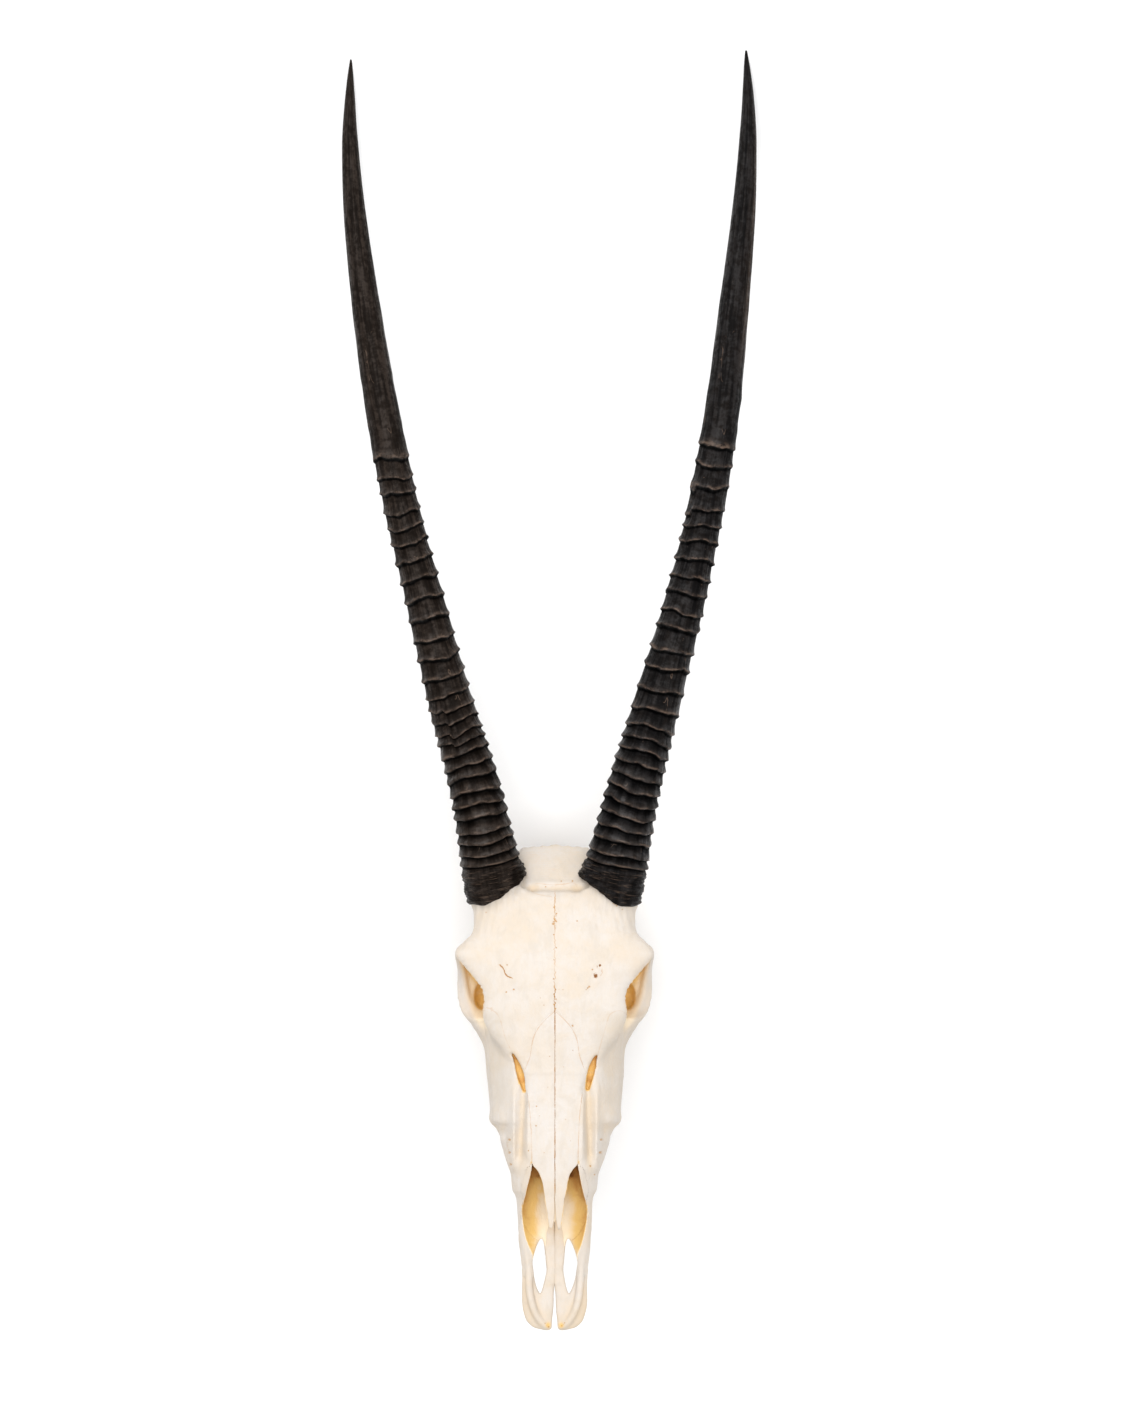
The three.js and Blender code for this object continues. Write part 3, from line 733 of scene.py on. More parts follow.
def nose_bone(side):
    """A thin plate as a grid: columns go round its section, out along the top face and back along the
    bottom, and rows run from its front tip to its rear apex."""
    rows, columns = 260, 56
    along = np.linspace(86 - 0.6 * side, 268, rows)
    turn = np.linspace(0, 2 * math.pi, columns, endpoint=False)
    edge = 0.22 * ripple(along * 0.9, 3 + side) + 0.34 * ripple(along * 0.27, 5 - side)
    outline = read(NOSE_OUTLINE, along)
    beside_slit = step(194, 200, along) * step(228, 222, along)
    outer = outline + edge * step(0, 8, outline) * step(230, 205, along)
    outer = outer + NOSE_LAP * step(139, 146, along) * (1 - 0.85 * beside_slit)
    inner = read(NOSE_INNER, along)
    share = (1 - np.sign(np.cos(turn)) * np.abs(np.cos(turn)) ** 0.6) / 2
    level = np.sign(np.sin(turn)) * np.abs(np.sin(turn)) ** 0.34
    across = inner[:, None] + (outer - inner)[:, None] * share[None, :]
    thin = NOSE_THICKNESS / 2 * step(0, 3, along - 84.5)[:, None] * np.ones_like(share)
    up = nose_top(across, along[:, None] + 0 * across) + 0.06 - NOSE_THICKNESS / 2 + level[None, :] * thin
    points = np.stack([across, np.broadcast_to(along[:, None], across.shape), up], -1)
    points = np.concatenate([points[:1].mean(1, keepdims=True).repeat(columns, 1), points,
                             points[-1:].mean(1, keepdims=True).repeat(columns, 1)])
    wander = 0.28 * ripple(points[..., 1] * 0.21, 4) * step(268, 255, points[..., 1])
    points[..., 0] = points[..., 0] * side + wander
    faces = wrapped(points.shape[:2])
    return listed(points), turned_round(faces) if side > 0 else faces


class SKULL_OT_nose(bpy.types.Operator):
    """Builds the two nose bones"""

    bl_idname = "skull.nose"
    bl_label = "Nose bones"

    def execute(self, context):
        paint = bone_paint("nose_bone", 0.3)
        for name, side in SIDES.items():
            points, faces = nose_bone(side)
            x, y, z = points.T
            under = nose_top(np.abs(x), y) - z
            inner = np.abs(x) - read(NOSE_INNER, y)
            outer = read(NOSE_OUTLINE, y) - np.abs(x)
            # Painted shade: brown along the free front edge of the nose bones' outline, and on their lower
            # face inside the nose.
            rim = step(0.7, 0.0, outer) * 0.22 * step(150, 138, y)
            below = 0.55 * step(1.4, 2.4, under)
            by_midline = inner + 0.3 < np.abs(outer)
            outer_share = 0.5 * step(140, 146, y) * ((y < 200) | (y > 220))
            values = {
                "stain": np.maximum(rim, below),
                "grey": np.full(len(points), 0.1),
                "warm": 0.5 * step(150, 100, y),
                "seam": np.where(by_midline, inner, outer),
                "seam_share": np.where(by_midline, 0.95 * step(112, 124, y), outer_share),
                "pit": pits(points, [pit for pit in NOSE_PITS if pit[0] * side > 0]),
            }
            piece(f"nasal_{name}_bone", points, faces, paint, f"nasal_{name}", values)
        return {"FINISHED"}


# --------------------------------------------------------------------------------------------------
# Front jaw bones
# --------------------------------------------------------------------------------------------------

# Lofts list along, half width, top, bottom and distance out. Chains list across, along, up and radius, and
# upright openings list across, along and radius.
JAW_PLATE = [
    [0.2, 2.2, -43.8, -45.6, 7], [0.9, 4, -43, -46.4, 7.8], [2.5, 7.6, -42.4, -47.2, 9.9],
    [6, 10.1, -42, -48, 12], [9.2, 11.4, -41.8, -48.6, 13.1], [16, 12.9, -41.6, -49, 13.8],
    [22.7, 13.4, -41.6, -49, 14.1], [29.4, 13.4, -41.6, -49, 14.1], [42.8, 13.7, -41.8, -48.8, 13.8],
    [50, 13.9, -42, -48.8, 14],
]
JAW_RIDGE = [
    [5.4, 3.4, -43.4, 2.1], [8.5, 4.6, -42.4, 2.4], [12.5, 8, -41.4, 2.5], [17, 15, -40.4, 2.6],
    [20, 25, -39.8, 2.7], [21.4, 36, -39.6, 2.7], [21.8, 48, -39.4, 2.5], [23, 58, -38.8, 2.1],
    [25.4, 70, -37, 1.5], [27.2, 82, -34.6, 0.9],
]
JAW_STRIP = [
    [38, 4.5, -42, -48, 4.5], [48, 4.4, -42.2, -48, 4.4], [58, 4.3, -42.8, -48, 4.3],
    [70, 4.3, -43.4, -48.4, 4.4], [80, 4, -43.8, -48.6, 4.5], [88, 3, -44, -48.8, 3.6],
    [102, 2, -44.4, -48.8, 2.6],
]
FISSURE = [
    [12.2, 30.5, 0.8], [12.5, 36, 2.8], [12.7, 43, 4.5], [12.6, 49.6, 5.5], [13.4, 56.3, 5.5],
    [12.9, 63, 4.5], [12, 69.7, 3], [11.2, 75.5, 0.9],
]

JAW_NOTCH = [[0, -4, 2.1], [0, 4, 2.2], [0, 9, 1.7], [0, 14, 0.9], [0, 24, 0.3], [0, 30, 0.1]]
JAW_GAP = [[0, 40, 7.4], [0, 62, 7.4], [0, 90, 7.4]]
UNDER_NOSE = [[0, 130, 18.8], [0, 160, 18.8]]
# Where the snout's wall starts, the step of the grid, how many rows of the muzzle's table these bones share,
# and how far they lap over the upper jaw.
JAW_WALL_START = 44
JAW_GRAIN = 0.8
MUZZLE_ROWS = 13
SEAM_LAP = 2


def behind_jaw(x, y, z):
    """Distance behind the slanting seam between the front jaw bone and the upper jaw, with a toothed edge."""
    tooth = 0.5 * ripple(x * 0.9 + z * 0.7, 2)
    return (y - 138 - 1.75 * (z + 3) - tooth) / 2.02


def jaw_seam(sign, lap):
    """All that lies behind the seam (sign 1) or in front of it (sign -1), set back by a lap, as a shape."""

    def distance(x, y, z):
        return lap - sign * behind_jaw(x, y, z)

    return distance, np.array([0, 30, -70]), np.array([60, 156, 10])


def slot_through(points, low, high):
    """An upright slot through points of x, y and radius: the distance to the chain of round cones seen from
    above."""
    distance, box_low, box_high = tube([[x, y, 0, radius] for x, y, radius in points])

    def upright(x, y, z):
        return np.maximum(distance(x, y, 0 * z), np.maximum(low - z, z - high))

    return upright, np.array([*box_low[:2], low]), np.array([*box_high[:2], high])


def nose_stain_and_shade(out, y, z):
    """Staining and painted shade on the inner wall of the nose: faint all over, stronger to the sides,
    and strongest far back, under the free edge of the nose bones.
    """
    wall = step(3.4, 1.2, np.abs(loft(NOSE_BASIN, NOSE_BASIN_POWER)[0](out, y, z)))
    deep = step(0.15, 1.5, -loft(MUZZLE, MUZZLE_POWER)[0](out, y, z))
    side = step(9, 27, out) * step(50, 70, y)
    return wall * deep * (0.03 + 0.04 * step(58, 90, y) + 0.42 * side + 0.38 * step(98, 138, y))


def front_jaw(block):
    """The snout's wall in front of the seam, and a flat front plate with a ridge, a long opening and an inner
    strip."""
    block.join(loft(MUZZLE[:MUZZLE_ROWS], MUZZLE_POWER))
    block.cut(loft(NOSE_BASIN, NOSE_BASIN_POWER), 1.2)
    block.cut(jaw_seam(1, SEAM_LAP), 0.2)
    block.cut((lambda x, y, z: y - JAW_WALL_START, np.array([0, 30, -70]), np.array([60, 60, 10])), 1)
    block.raise_by(lambda x, y, z: 0.22 * step(-4, 0, behind_jaw(x, y, z)), [0, 60, -60], [60, 152, 6])
    block.cut(slot_through(JAW_GAP, -60, -30), 1)
    block.cut(slot_through(UNDER_NOSE, -30, 12), 0.3)
    block.join(loft(JAW_PLATE, 3.4), 1.5)
    block.join(tube(JAW_RIDGE, (1.15, 1, 1)), 2.6)
    block.join(loft(JAW_STRIP, 3), 1.5)
    block.cut(slot_through(FISSURE, -60, -30), 2.2)
    block.cut(slot_through(JAW_NOTCH, -60, -20), 1.2)


class SKULL_OT_front_jaw(bpy.types.Operator):
    """Builds the two front bones of the upper jaw"""

    bl_idname = "skull.front_jaw"
    bl_label = "Front jaw bones"

    def execute(self, context):
        paint = bone_paint("jaw_bone", 0.6)
        ridge = carried([row[1::-1] for row in JAW_RIDGE[1:6]])
        spans = ((-0.2, 42), (-2, 152), (-58, 6))
        for name, side in SIDES.items():
            block = Block(*(np.arange(low, high, JAW_GRAIN) for low, high in spans))
            front_jaw(block)
            block.close()
            points, faces = block.skin()
            points = eased(points, faces, 2)
            x, y, z = points.T
            tip = bell(np.hypot(x - 5.5, y - 4.5), 2.6)
            flange = step(0.5, 3, x - read(ridge, y)) * step(46, 30, y)
            inside = nose_stain_and_shade(x, y, z)
            zero = np.zeros(len(points))
            values = {
                "stain": np.maximum(inside, 0.3 * tip),
                "hollow": block.hollowness(),
                "grey": zero + 0.05,
                # Painted shade: warmer on the flange outside the ridge and on the lower part of the plate,
                # over a faint warm tone all over.
                "warm": np.clip(0.25 + 0.6 * flange + 0.5 * step(-41, -46, z), 0, 1),
                # A painted lighter tint on the outer nose floor, to lift the shade there.
                "cream": 0.8 * step(0, NOSE_FLOOR_STAIN_AND_SHADE, inside) * step(13, 16, x),
                "seam": zero + FAR,
                "seam_share": zero,
                "pit": pits(points * [side, 1, 1], JAW_PITS),
            }
            inner = x - 0.6 * step(3.2, 0.8, x) * step(26, 44, y)
            points[:, 1] -= 1.5 * step(16, 3, y)
            points[:, 0] = side * inner + 0.3 * ripple(y * 0.08, 2) - 0.2
            if side < 0:
                faces = faces[:, ::-1]
            piece(f"premaxilla_{name}_bone", points, (faces,), paint, f"premaxilla_{name}", values)
        return {"FINISHED"}


# --------------------------------------------------------------------------------------------------
# Cranium
# --------------------------------------------------------------------------------------------------

# The tables' columns are those of the front jaw bones' tables.
MUZZLE = [
    [40, 26, -38.5, -49], [56, 28.4, -36.5, -50.5], [70, 29.8, -32, -52], [84, 30.9, -26.5, -53.5],
    [97, 31.4, -20.5, -55], [108, 32, -14.5, -57], [113, 33.2, -11.2, -58.5], [117, 35.4, -8.8, -60],
    [123, 36.2, -6, -62], [131, 37, -3, -65], [137, 39.6, -1.6, -67], [144, 42.2, -0.8, -70],
    [150, 43.8, -0.2, -73], [158, 46, 0.2, -77], [164, 46.6, 0.4, -81], [169, 48, 0.4, -85],
    [173, 50.4, 0.4, -88], [177, 53.6, 0.5, -90], [196, 55, 0.6, -95], [218, 56.6, 1, -99],
    [244, 58, 1.4, -105], [262, 58.6, 2.2, -107], [280, 56, 3, -105], [296, 49, 3, -98],
    [308, 38, 2, -88],
]
MUZZLE_POWER = 2.4
FOREHEAD_POWER = 3.2
NOSE_BASIN_POWER = 2.5
NOSE_CAVE_POWER = 2.4
FOREHEAD = [
    [222, 30, -3, -24], [232, 42, -0.6, -28], [244, 51.5, 1, -30], [252, 56, 1.8, -30],
    [262, 60, 2.6, -26], [270, 60.6, 3.2, -22], [278, 60.2, 3.6, -21], [286, 61.6, 3.8, -21],
    [294, 66.2, 4, -21], [302, 72.6, 3.8, -22], [310, 79, 3.4, -24], [315, 82.4, 3, -26],
    [318.5, 81.8, 2.6, -28], [322, 78.6, 2.2, -31], [327, 75, 1.6, -35], [335, 68.2, 0.4, -40],
    [346, 64.6, -1.4, -46], [358, 58, -4, -50], [370, 50, -8, -52],
]
NAPE = [
    [336, 44, -4, -60], [352, 46, -7, -62], [366, 45, -11.5, -64], [376, 44, -16.5, -66],
    [386, 45, -24, -68], [396, 46.5, -32.5, -68], [403, 47.5, -39.5, -66], [409, 46.5, -46, -62],
    [414, 44, -51, -58],
]
NOSE_BASIN = [
    [42, 9, 12, -40], [48, 15, 12, -41.6], [56, 20.8, 12, -42.4], [62, 23.6, 12, -43],
    [68, 25.6, 12, -43.4], [76, 27.4, 12, -43.8], [85, 28.6, 12, -44], [93, 28.8, 12, -44.4],
    [100, 28.2, 12, -44.6], [107, 26.4, 12, -44.8], [114, 24.4, 12, -45], [121, 22.9, 12, -45],
    [128, 21.6, 12, -45], [136, 20.5, 12, -45], [142, 19.4, 12, -45], [146, 17, 6, -45],
]
NOSE_CAVE = [
    [128, 19.5, -8, -45], [150, 19.5, -8, -48], [176, 19.5, -8, -54], [200, 18, -9, -60],
    [222, 12, -14, -60],
]
TOOTH_RIDGE = [
    [152, 6, -64, -84, 27.5], [162, 9, -62, -93, 28.5], [176, 10.5, -64, -99, 29.6],
    [200, 12.2, -68, -107.5, 31.5], [225, 13, -74, -116, 34.2], [245, 12.8, -78, -122.5, 36],
    [262, 11.4, -82, -128, 37], [272, 7, -88, -122, 36],
]
EYE_BED = egg([63, 287, -56], [20.5, 31, 22])
EYE_SOCKET = egg([70, 286, -34], [33, 27.5, 29])
EYE_DEPTH = egg([46, 290, -42], [20, 15, 15])
EYE_POCKET = egg([61, 281, -56], [7.5, 12.5, 17])
EYE_RIM = [
    [53.2, 214, -60, 3], [53.4, 230, -56, 3.6], [55.4, 243, -52, 3.9], [60.8, 251.5, -50.5, 4],
    [67, 259.5, -53, 4.1], [71.2, 269, -58, 4.2], [75, 281, -61, 4.2], [77.2, 295, -58, 4],
    [79.4, 307, -47, 3.8], [80.4, 315, -32, 3.8], [79, 318, -17, 4],
]
CHEEK_RIDGE = [
    [36, 140, -62, 2], [41, 155, -60, 2.6], [44.4, 164, -58, 3], [47.6, 170.4, -57, 3.2],
    [52.8, 176.2, -57, 3.2], [50.8, 186, -57.5, 4.2], [52.8, 212, -60, 4.6], [54.6, 236, -62, 4.8],
    [63, 254, -63, 5], [70, 267, -66, 5],
]
CHEEK_ARCH = [
    [66, 258, -66, 5], [74, 278, -70, 4.4], [77, 298, -70, 4], [73.6, 314, -69, 4], [65.5, 328, -70, 4.6],
    [56, 341, -74, 6], [44, 352, -80, 8],
]
HORN_STEM = [
    [37, 316, -28, 18], [41, 334, -27, 20.4], [43.4, 350, -26.5, 20.6], [48, 364, -24, 22.6],
    [52, 388, -20, 18],
]
SKULL_BASE = [
    [0, 374, -128, 14], [0, 350, -126, 13], [0, 320, -116, 10.5], [0, 296, -106, 10], [0, 268, -94, 9],
]
WING = [[17, 254, -98, 3], [16.6, 270, -108, 3], [15.6, 284, -112, 3], [14, 300, -106, 3]]
# Under the cranium: the openings behind the palate and at the neck, the bony point under the ear as heights
# over its tip with radii, the ear bulb and the joint for the neck.
THROAT = [[0, 256, -84, 9], [0, 272, -92, 11], [0, 288, -104, 11], [0, 296, -120, 12]]
NECK_OPENING = [[0, 352, -92, 16], [0, 372, -110, 14], [0, 392, -126, 14], [0, 404, -134, 15]]
JUGULAR = [(72, 11), (45, 9.5), (22, 6.2), (9, 4.6), (4, 3.8)]
EAR_BULB = egg([30, 338, -124], [10, 15, 15], 12)
NECK_JOINT = egg([19, 374, -139], [13, 12.5, 15.5], 20)
# The slits between nose, cheek and forehead bones: across, along, radius. Then how deep the cuts and
# their staining with painted shade reach, and the gap between the palate and the inner strips of the front
# jaw bones.
SLIT = {
    "left": [
        [35.4, 232.5, 0.9], [33, 228, 1.4], [30.6, 221, 2.5], [28.8, 214, 2.8], [27, 207.5, 2],
        [25.8, 202.5, 1.3],
    ],
    "right": [
        [35.2, 231.5, 0.6], [33.6, 228.5, 1.5], [31.4, 222, 2.6], [29.8, 216, 2.7], [28.2, 209, 1.9],
        [27, 203.5, 1.3],
    ],
}
SLIT_FLOOR = -12
SLIT_STAIN_AND_SHADE_FLOOR = -30
PALATE_GAP = [[0, 44, 7], [0, 62, 7], [0, 74, 6.6], [0, 82, 4.6], [0, 88, 1.6]]
# Staining and painted shade over this share marks the floor and inner wall of the nose.
NOSE_FLOOR_STAIN_AND_SHADE = 0.03
# Seam lines on the face seen from above: points across and along, then a strength and a width.
SEAMS = [
    ([[-60, 272.5], [-54, 270.5], [-48, 266], [-44.6, 258], [-42, 248], [-37.6, 237.5]], 0.26, 1),
    ([[61, 265], [57, 268.5], [52, 269], [46, 265.5], [43.2, 257], [40.6, 248], [36.6, 234]], 0.26, 1),
    ([[-15.8, 376], [-8, 375], [0, 374.6], [8, 375.2], [14.5, 376.4], [17.6, 374.6]], 0.5, 0.9),
    ([[-20.4, 371], [-17.6, 367.8], [-9, 365.6], [-3, 365]], 0.3, 0.8),
    ([[-57.2, 246], [-53.6, 238], [-51.6, 226], [-51, 210], [-50.6, 194], [-48, 184]], 0.26, 1),
    ([[58, 248], [55, 240], [53, 226], [52, 210], [51.6, 194], [50, 184]], 0.34, 1),
    ([[54.6, 250], [50.4, 236], [48.6, 220], [48, 202]], 0.2, 0.8),
    ([[-61.5, 272], [-58, 270.8], [-52.5, 271.6]], 0.3, 0.8),
    ([[-61, 269.5], [-57, 268.4], [-53, 269]], 0.25, 0.8),
    ([[-46, 307.4], [-43, 304.4], [-41.6, 300.4], [-39.4, 298], [-35.8, 296.6]], 1.0, 1.3),
    ([[39.4, 303.4], [39.8, 301], [38.4, 298.6]], 0.75, 1.2),
]


def midline(along):
    """Sideways place of the toothed seam down the middle of the forehead: triangle waves of odd lengths,
    added up, behind the nose bones, and a straight line under them."""
    waves = ((0.42, 3.1), (0.36, 5.3), (0.3, 2.3), (0.34, 13))
    zigzag = sum(size * (np.abs((along / length) % 1 - 0.5) * 4 - 1) for size, length in waves)
    return zigzag * step(266, 276, along) * (1 - 0.45 * step(352, 366, along))


def seam_lines(points, lines):
    """Signed distance to the nearest of some lines seen from above, over the line's width, and a share that
    is its strength near the line and 0 past its ends and far from it."""
    x, y = points[:, 0], points[:, 1]
    best = np.full(len(x), 99.0)
    share = np.zeros(len(x))
    for line, strength, width in lines:
        line = carried(line, 6)
        for n, (a, b) in enumerate(zip(line[:-1], line[1:])):
            run = b - a
            raw = ((x - a[0]) * run[0] + (y - a[1]) * run[1]) / (run @ run)
            t = np.clip(raw, 0, 1)
            gap = np.hypot(x - a[0] - run[0] * t, y - a[1] - run[1] * t) / width
            side = np.sign((x - a[0]) * run[1] - (y - a[1]) * run[0])
            past = 0 * raw
            if n == 0:
                past = np.maximum(-raw, 0) * np.hypot(*run)
            if n == len(line) - 2:
                past = np.maximum(raw - 1, 0) * np.hypot(*run)
            near = gap < np.abs(best)
            best = np.where(near, gap * np.where(side == 0, 1, side), best)
            share = np.where(near, strength * (past < 0.5), share)
    return best, share * step(4.2, 3.4, np.abs(best))


# Small round holes in the bone, painted as brown discs that stand for the shade inside them: across, along,
# radius, and 1 for one with a darker painted shade in its middle.
FACE_PITS = [
    (-40, 307.6, 0.6), (-34.4, 287, 0.85), (-40.6, 284.8, 0.7), (29.2, 289.4, 0.9), (31.6, 303.8, 0.7),
    (26.4, 287, 0.45), (37.8, 307.2, 1.0, 1), (34.4, 298.4, 1.7, 1), (15, 256.6, 0.9), (0.2, 346, 0.8),
    (-1.4, 341.8, 0.9), (1.6, 350.6, 0.7), (-0.6, 356, 0.7), (1.4, 344, 0.6), (-0.8, 333, 0.6),
    (1.2, 322, 0.55), (-0.8, 312, 0.5), (0.9, 287, 0.6), (-0.6, 283, 0.7), (1.0, 279, 0.7),
    (-0.4, 274.6, 0.8), (0.6, 271, 0.8), (-0.9, 296, 0.6), (18.8, 344.4, 0.6), (52, 357.2, 0.7),
    (56.8, 354, 0.55), (49, 359, 0.45), (-57.6, 351.6, 0.5), (-38.2, 160.4, 0.95), (-41, 155, 0.8),
    (-38, 149.6, 0.9), (-37, 139.6, 0.9), (38.4, 160.4, 0.9), (37.6, 149.6, 1.0), (29.8, 138.4, 0.8),
    (33.4, 131, 0.5), (-22.4, 151.6, 0.55), (-9, 274, 0.4), (-12, 280, 0.35), (7, 287, 0.4),
    (-14.6, 404, 0.6), (-6, 403.6, 0.5), (8, 403.4, 0.6), (13, 401.6, 0.5), (-1.4, 388, 0.5),
    (-20, 402, 0.5), (19.6, 400.8, 0.6), (14.4, 377.6, 0.7), (-8, 373, 0.5), (5, 377.6, 0.5),
    (52.6, 188, 0.5), (-12.6, 252, 0.4),
]
NOSE_PITS = [
    (-15.4, 189, 0.6), (-15.8, 172.6, 0.6), (-13, 181, 0.35), (-6, 205, 0.35), (7, 222, 0.35),
    (15, 236, 0.4), (-4.4, 231, 0.4), (9, 178, 0.3), (-9, 150, 0.35), (13, 160, 0.35),
]
JAW_PITS = [(-5, 3.2, 0.7), (6, 4, 0.6), (8.4, 6.4, 0.5), (-8, 6, 0.45)]


def pits(points, holes):
    """For the nearest small hole seen from above: its offset over its radius, across and along, and a share
    that is 1 near it, 2 near one with a painted dark middle, and 0 far away."""
    value = np.zeros((len(points), 3))
    best = np.full(len(points), FAR)
    dark = np.zeros(len(points))
    for across, along, radius, *mark in holes:
        dx, dy = (points[:, 0] - across) / radius, (points[:, 1] - along) / radius
        gap = np.hypot(dx, dy) * radius
        near = gap < best
        value[near] = np.stack([dx, dy, 0 * dx], 1)[near]
        dark[near] = len(mark)
        best = np.minimum(best, gap)
    value[:, 2] = step(3.1, 2.3, best) * (1 + dark)
    value[best >= FAR, :2] = FAR
    return value


def face_relief(x, y, z):
    """Gentle highs and lows on the upper face of the bone, for X above 0: a sum of bells across lines and
    round places, and of sine waves, each faded out past its stretch."""
    beside_nose = step(134, 152, y) * step(222, 198, y)
    wrinkles = np.sin(x * 1.1 + y * 0.12 + np.sin(y * 0.2)) * step(22, 32, x) * step(322, 346, y)
    nose_and_cheek = (
        -4.2 * bell(x - 28.6 + 1.6 * step(150, 200, y), 3.4) * beside_nose,
        1.6 * bell(x - 22.8, 1.5) * step(140, 150, y) * step(205, 195, y),
        3.2 * bell(x - 35, 1.9) * step(124, 150, y) * step(212, 190, y),
        -3 * bell(x - 41, 3.2) * step(126, 146, y) * step(188, 166, y),
        -2.6 * bell(x - 46, 7) * step(172, 192, y) * step(252, 230, y),
    )
    forehead = (
        -2.2 * bell(np.hypot(x - 41 + (y - 298) * 0.1, (y - 297) / 2.4), 5.5),
        -1.0 * bell(x - 40, 5) * step(236, 250, y) * step(296, 280, y),
        1.4 * bell(np.hypot(x - 62, (y - 322) / 1.3), 12),
        1.0 * bell(x - 20, 13) * bell(y - 318, 26),
        -0.5 * bell(x, 5) * bell(y - 320, 30),
        0.3 * np.sin(x * 0.21 + 1) * np.sin(y * 0.13) * step(240, 260, y),
        0.9 * np.sin(x * 0.23 + 2) * bell(y - 336, 14) * step(12, 24, x),
    )
    nape = (
        1.5 * bell(y - 376.6, 1.9) * step(22, 15, x),
        -3.2 * bell(y - 371, 3.4) * bell(x - 18.5, 4.5),
        -1.3 * bell(y - 370.6, 3.2) * step(20, 10, x),
        0.8 * bell(y - 364, 2.5) * step(24, 14, x),
        -0.9 * bell(y - 396, 6) * bell(x - 15, 8),
        0.9 * bell(x, 6) * bell(y - 402, 8),
        1.0 * bell(y - 405.5, 1.8) * step(30, 24, x),
        0.55 * wrinkles,
    )
    return sum(nose_and_cheek + forehead + nape) * step(-42, -26, z)


def cranium(block):
    """The braincase, forehead, cheeks, upper jaw and palate in one, for X above 0."""
    braincase, back_of_head = egg([0, 346, -64], [45, 52, 46], 28), egg([0, 376, -92], [53, 16, 48], 14)
    for shape, blend in (
        (loft(MUZZLE, MUZZLE_POWER), 2), (loft(FOREHEAD, FOREHEAD_POWER), 9), (loft(TOOTH_RIDGE, 2.6), 6),
        (EYE_BED, 6), (tube(HORN_STEM), 13), (loft(NAPE, 3.0), 7), (braincase, 9), (back_of_head, 8),
    ):
        block.join(shape, blend)
    for shape, blend in ((EYE_SOCKET, 2.2), (EYE_DEPTH, 6), (EYE_POCKET, 2)):
        block.cut(shape, blend)
    for shape, blend in (
        (tube(CHEEK_RIDGE, (1, 1, 1.7)), 4), (tube(EYE_RIM, (0.85, 1, 1)), 4),
        (tube(CHEEK_ARCH, (0.75, 1, 1.3)), 3.5), (tube(SKULL_BASE, (1.1, 1, 0.8)), 6),
        (tube(WING, (0.8, 1, 3.4)), 3), (EAR_BULB, 3), (NECK_JOINT, 4), (tube(jugular(), (0.8, 1.25, 1)), 5),
    ):
        block.join(shape, blend)
    block.cut(loft(NOSE_BASIN, NOSE_BASIN_POWER), 1.2)
    block.cut(loft(NOSE_CAVE, NOSE_CAVE_POWER), 2)
    block.cut(jaw_seam(-1, 0.15), 0.2)
    block.raise_by(lambda x, y, z: -0.7 * step(1.6, 0.6, behind_jaw(x, y, z)), [0, 50, -70], [60, 156, 10])
    for shape, blend in (
        (tube(THROAT, (1.1, 1, 1)), 3), (tube(NECK_OPENING, (1.15, 1, 0.95)), 2),
        ((behind_nape, np.array([0, 396, -62]), np.array([60, 420, -10])), 2.5),
        (slot_through(FISSURE, -60, -30), 1.5), (slot_through(PALATE_GAP, -60, -30), 1),
    ):
        block.cut(shape, blend)


def jugular():
    """The bony point under the ear, standing upright over its tip on the table."""
    rise = np.array([0, -math.sin(REST_SLOPE), math.cos(REST_SLOPE)])
    return [[*(JUGULAR_TIP + height * rise), radius] for height, radius in JUGULAR]


def behind_nape(x, y, z):
    """Distance behind the wavy crest at the back, a shallow arch with a small rise in its middle."""
    crest = 407 - 0.0018 * x**2 - 3 * step(26, 33, x) + 1.2 * bell(x, 6)
    return crest + 0.45 * np.sin(x * 0.75) + 0.25 * np.sin(x * 1.9) - y + 0.1 * (z + 45)


def nose_seat(x, y, z):
    """Where the nose bones lie: inside their outline seen from above and over their lower face."""
    beside = x - read(NOSE_OUTLINE, y) - 0.02
    over = nose_top(x, y) - 0.9 - z
    return np.maximum(np.maximum(beside, over), np.maximum(84 - y, y - 268.4))


# Dents where vessels leave the forehead: across, along, length along, width, depth.
DENTS = [
    (-43.6, 303.6, 3.4, 1.8, 1.2), (-40, 298.2, 1.8, 2.6, 1.5), (-36.6, 296.6, 1.6, 2, 0.8),
    (-44.6, 290, 8, 2.6, 1.1), (34.4, 298.4, 1.9, 1.9, 2.0), (37.8, 307.2, 1.5, 1.3, 1.4),
    (39.6, 301.4, 3.2, 1.2, 1.0), (36.6, 302.8, 2, 1.6, -0.9), (43.4, 292, 8, 3, 0.9),
    (-39.4, 303.8, 2.4, 1.6, -0.7),
]


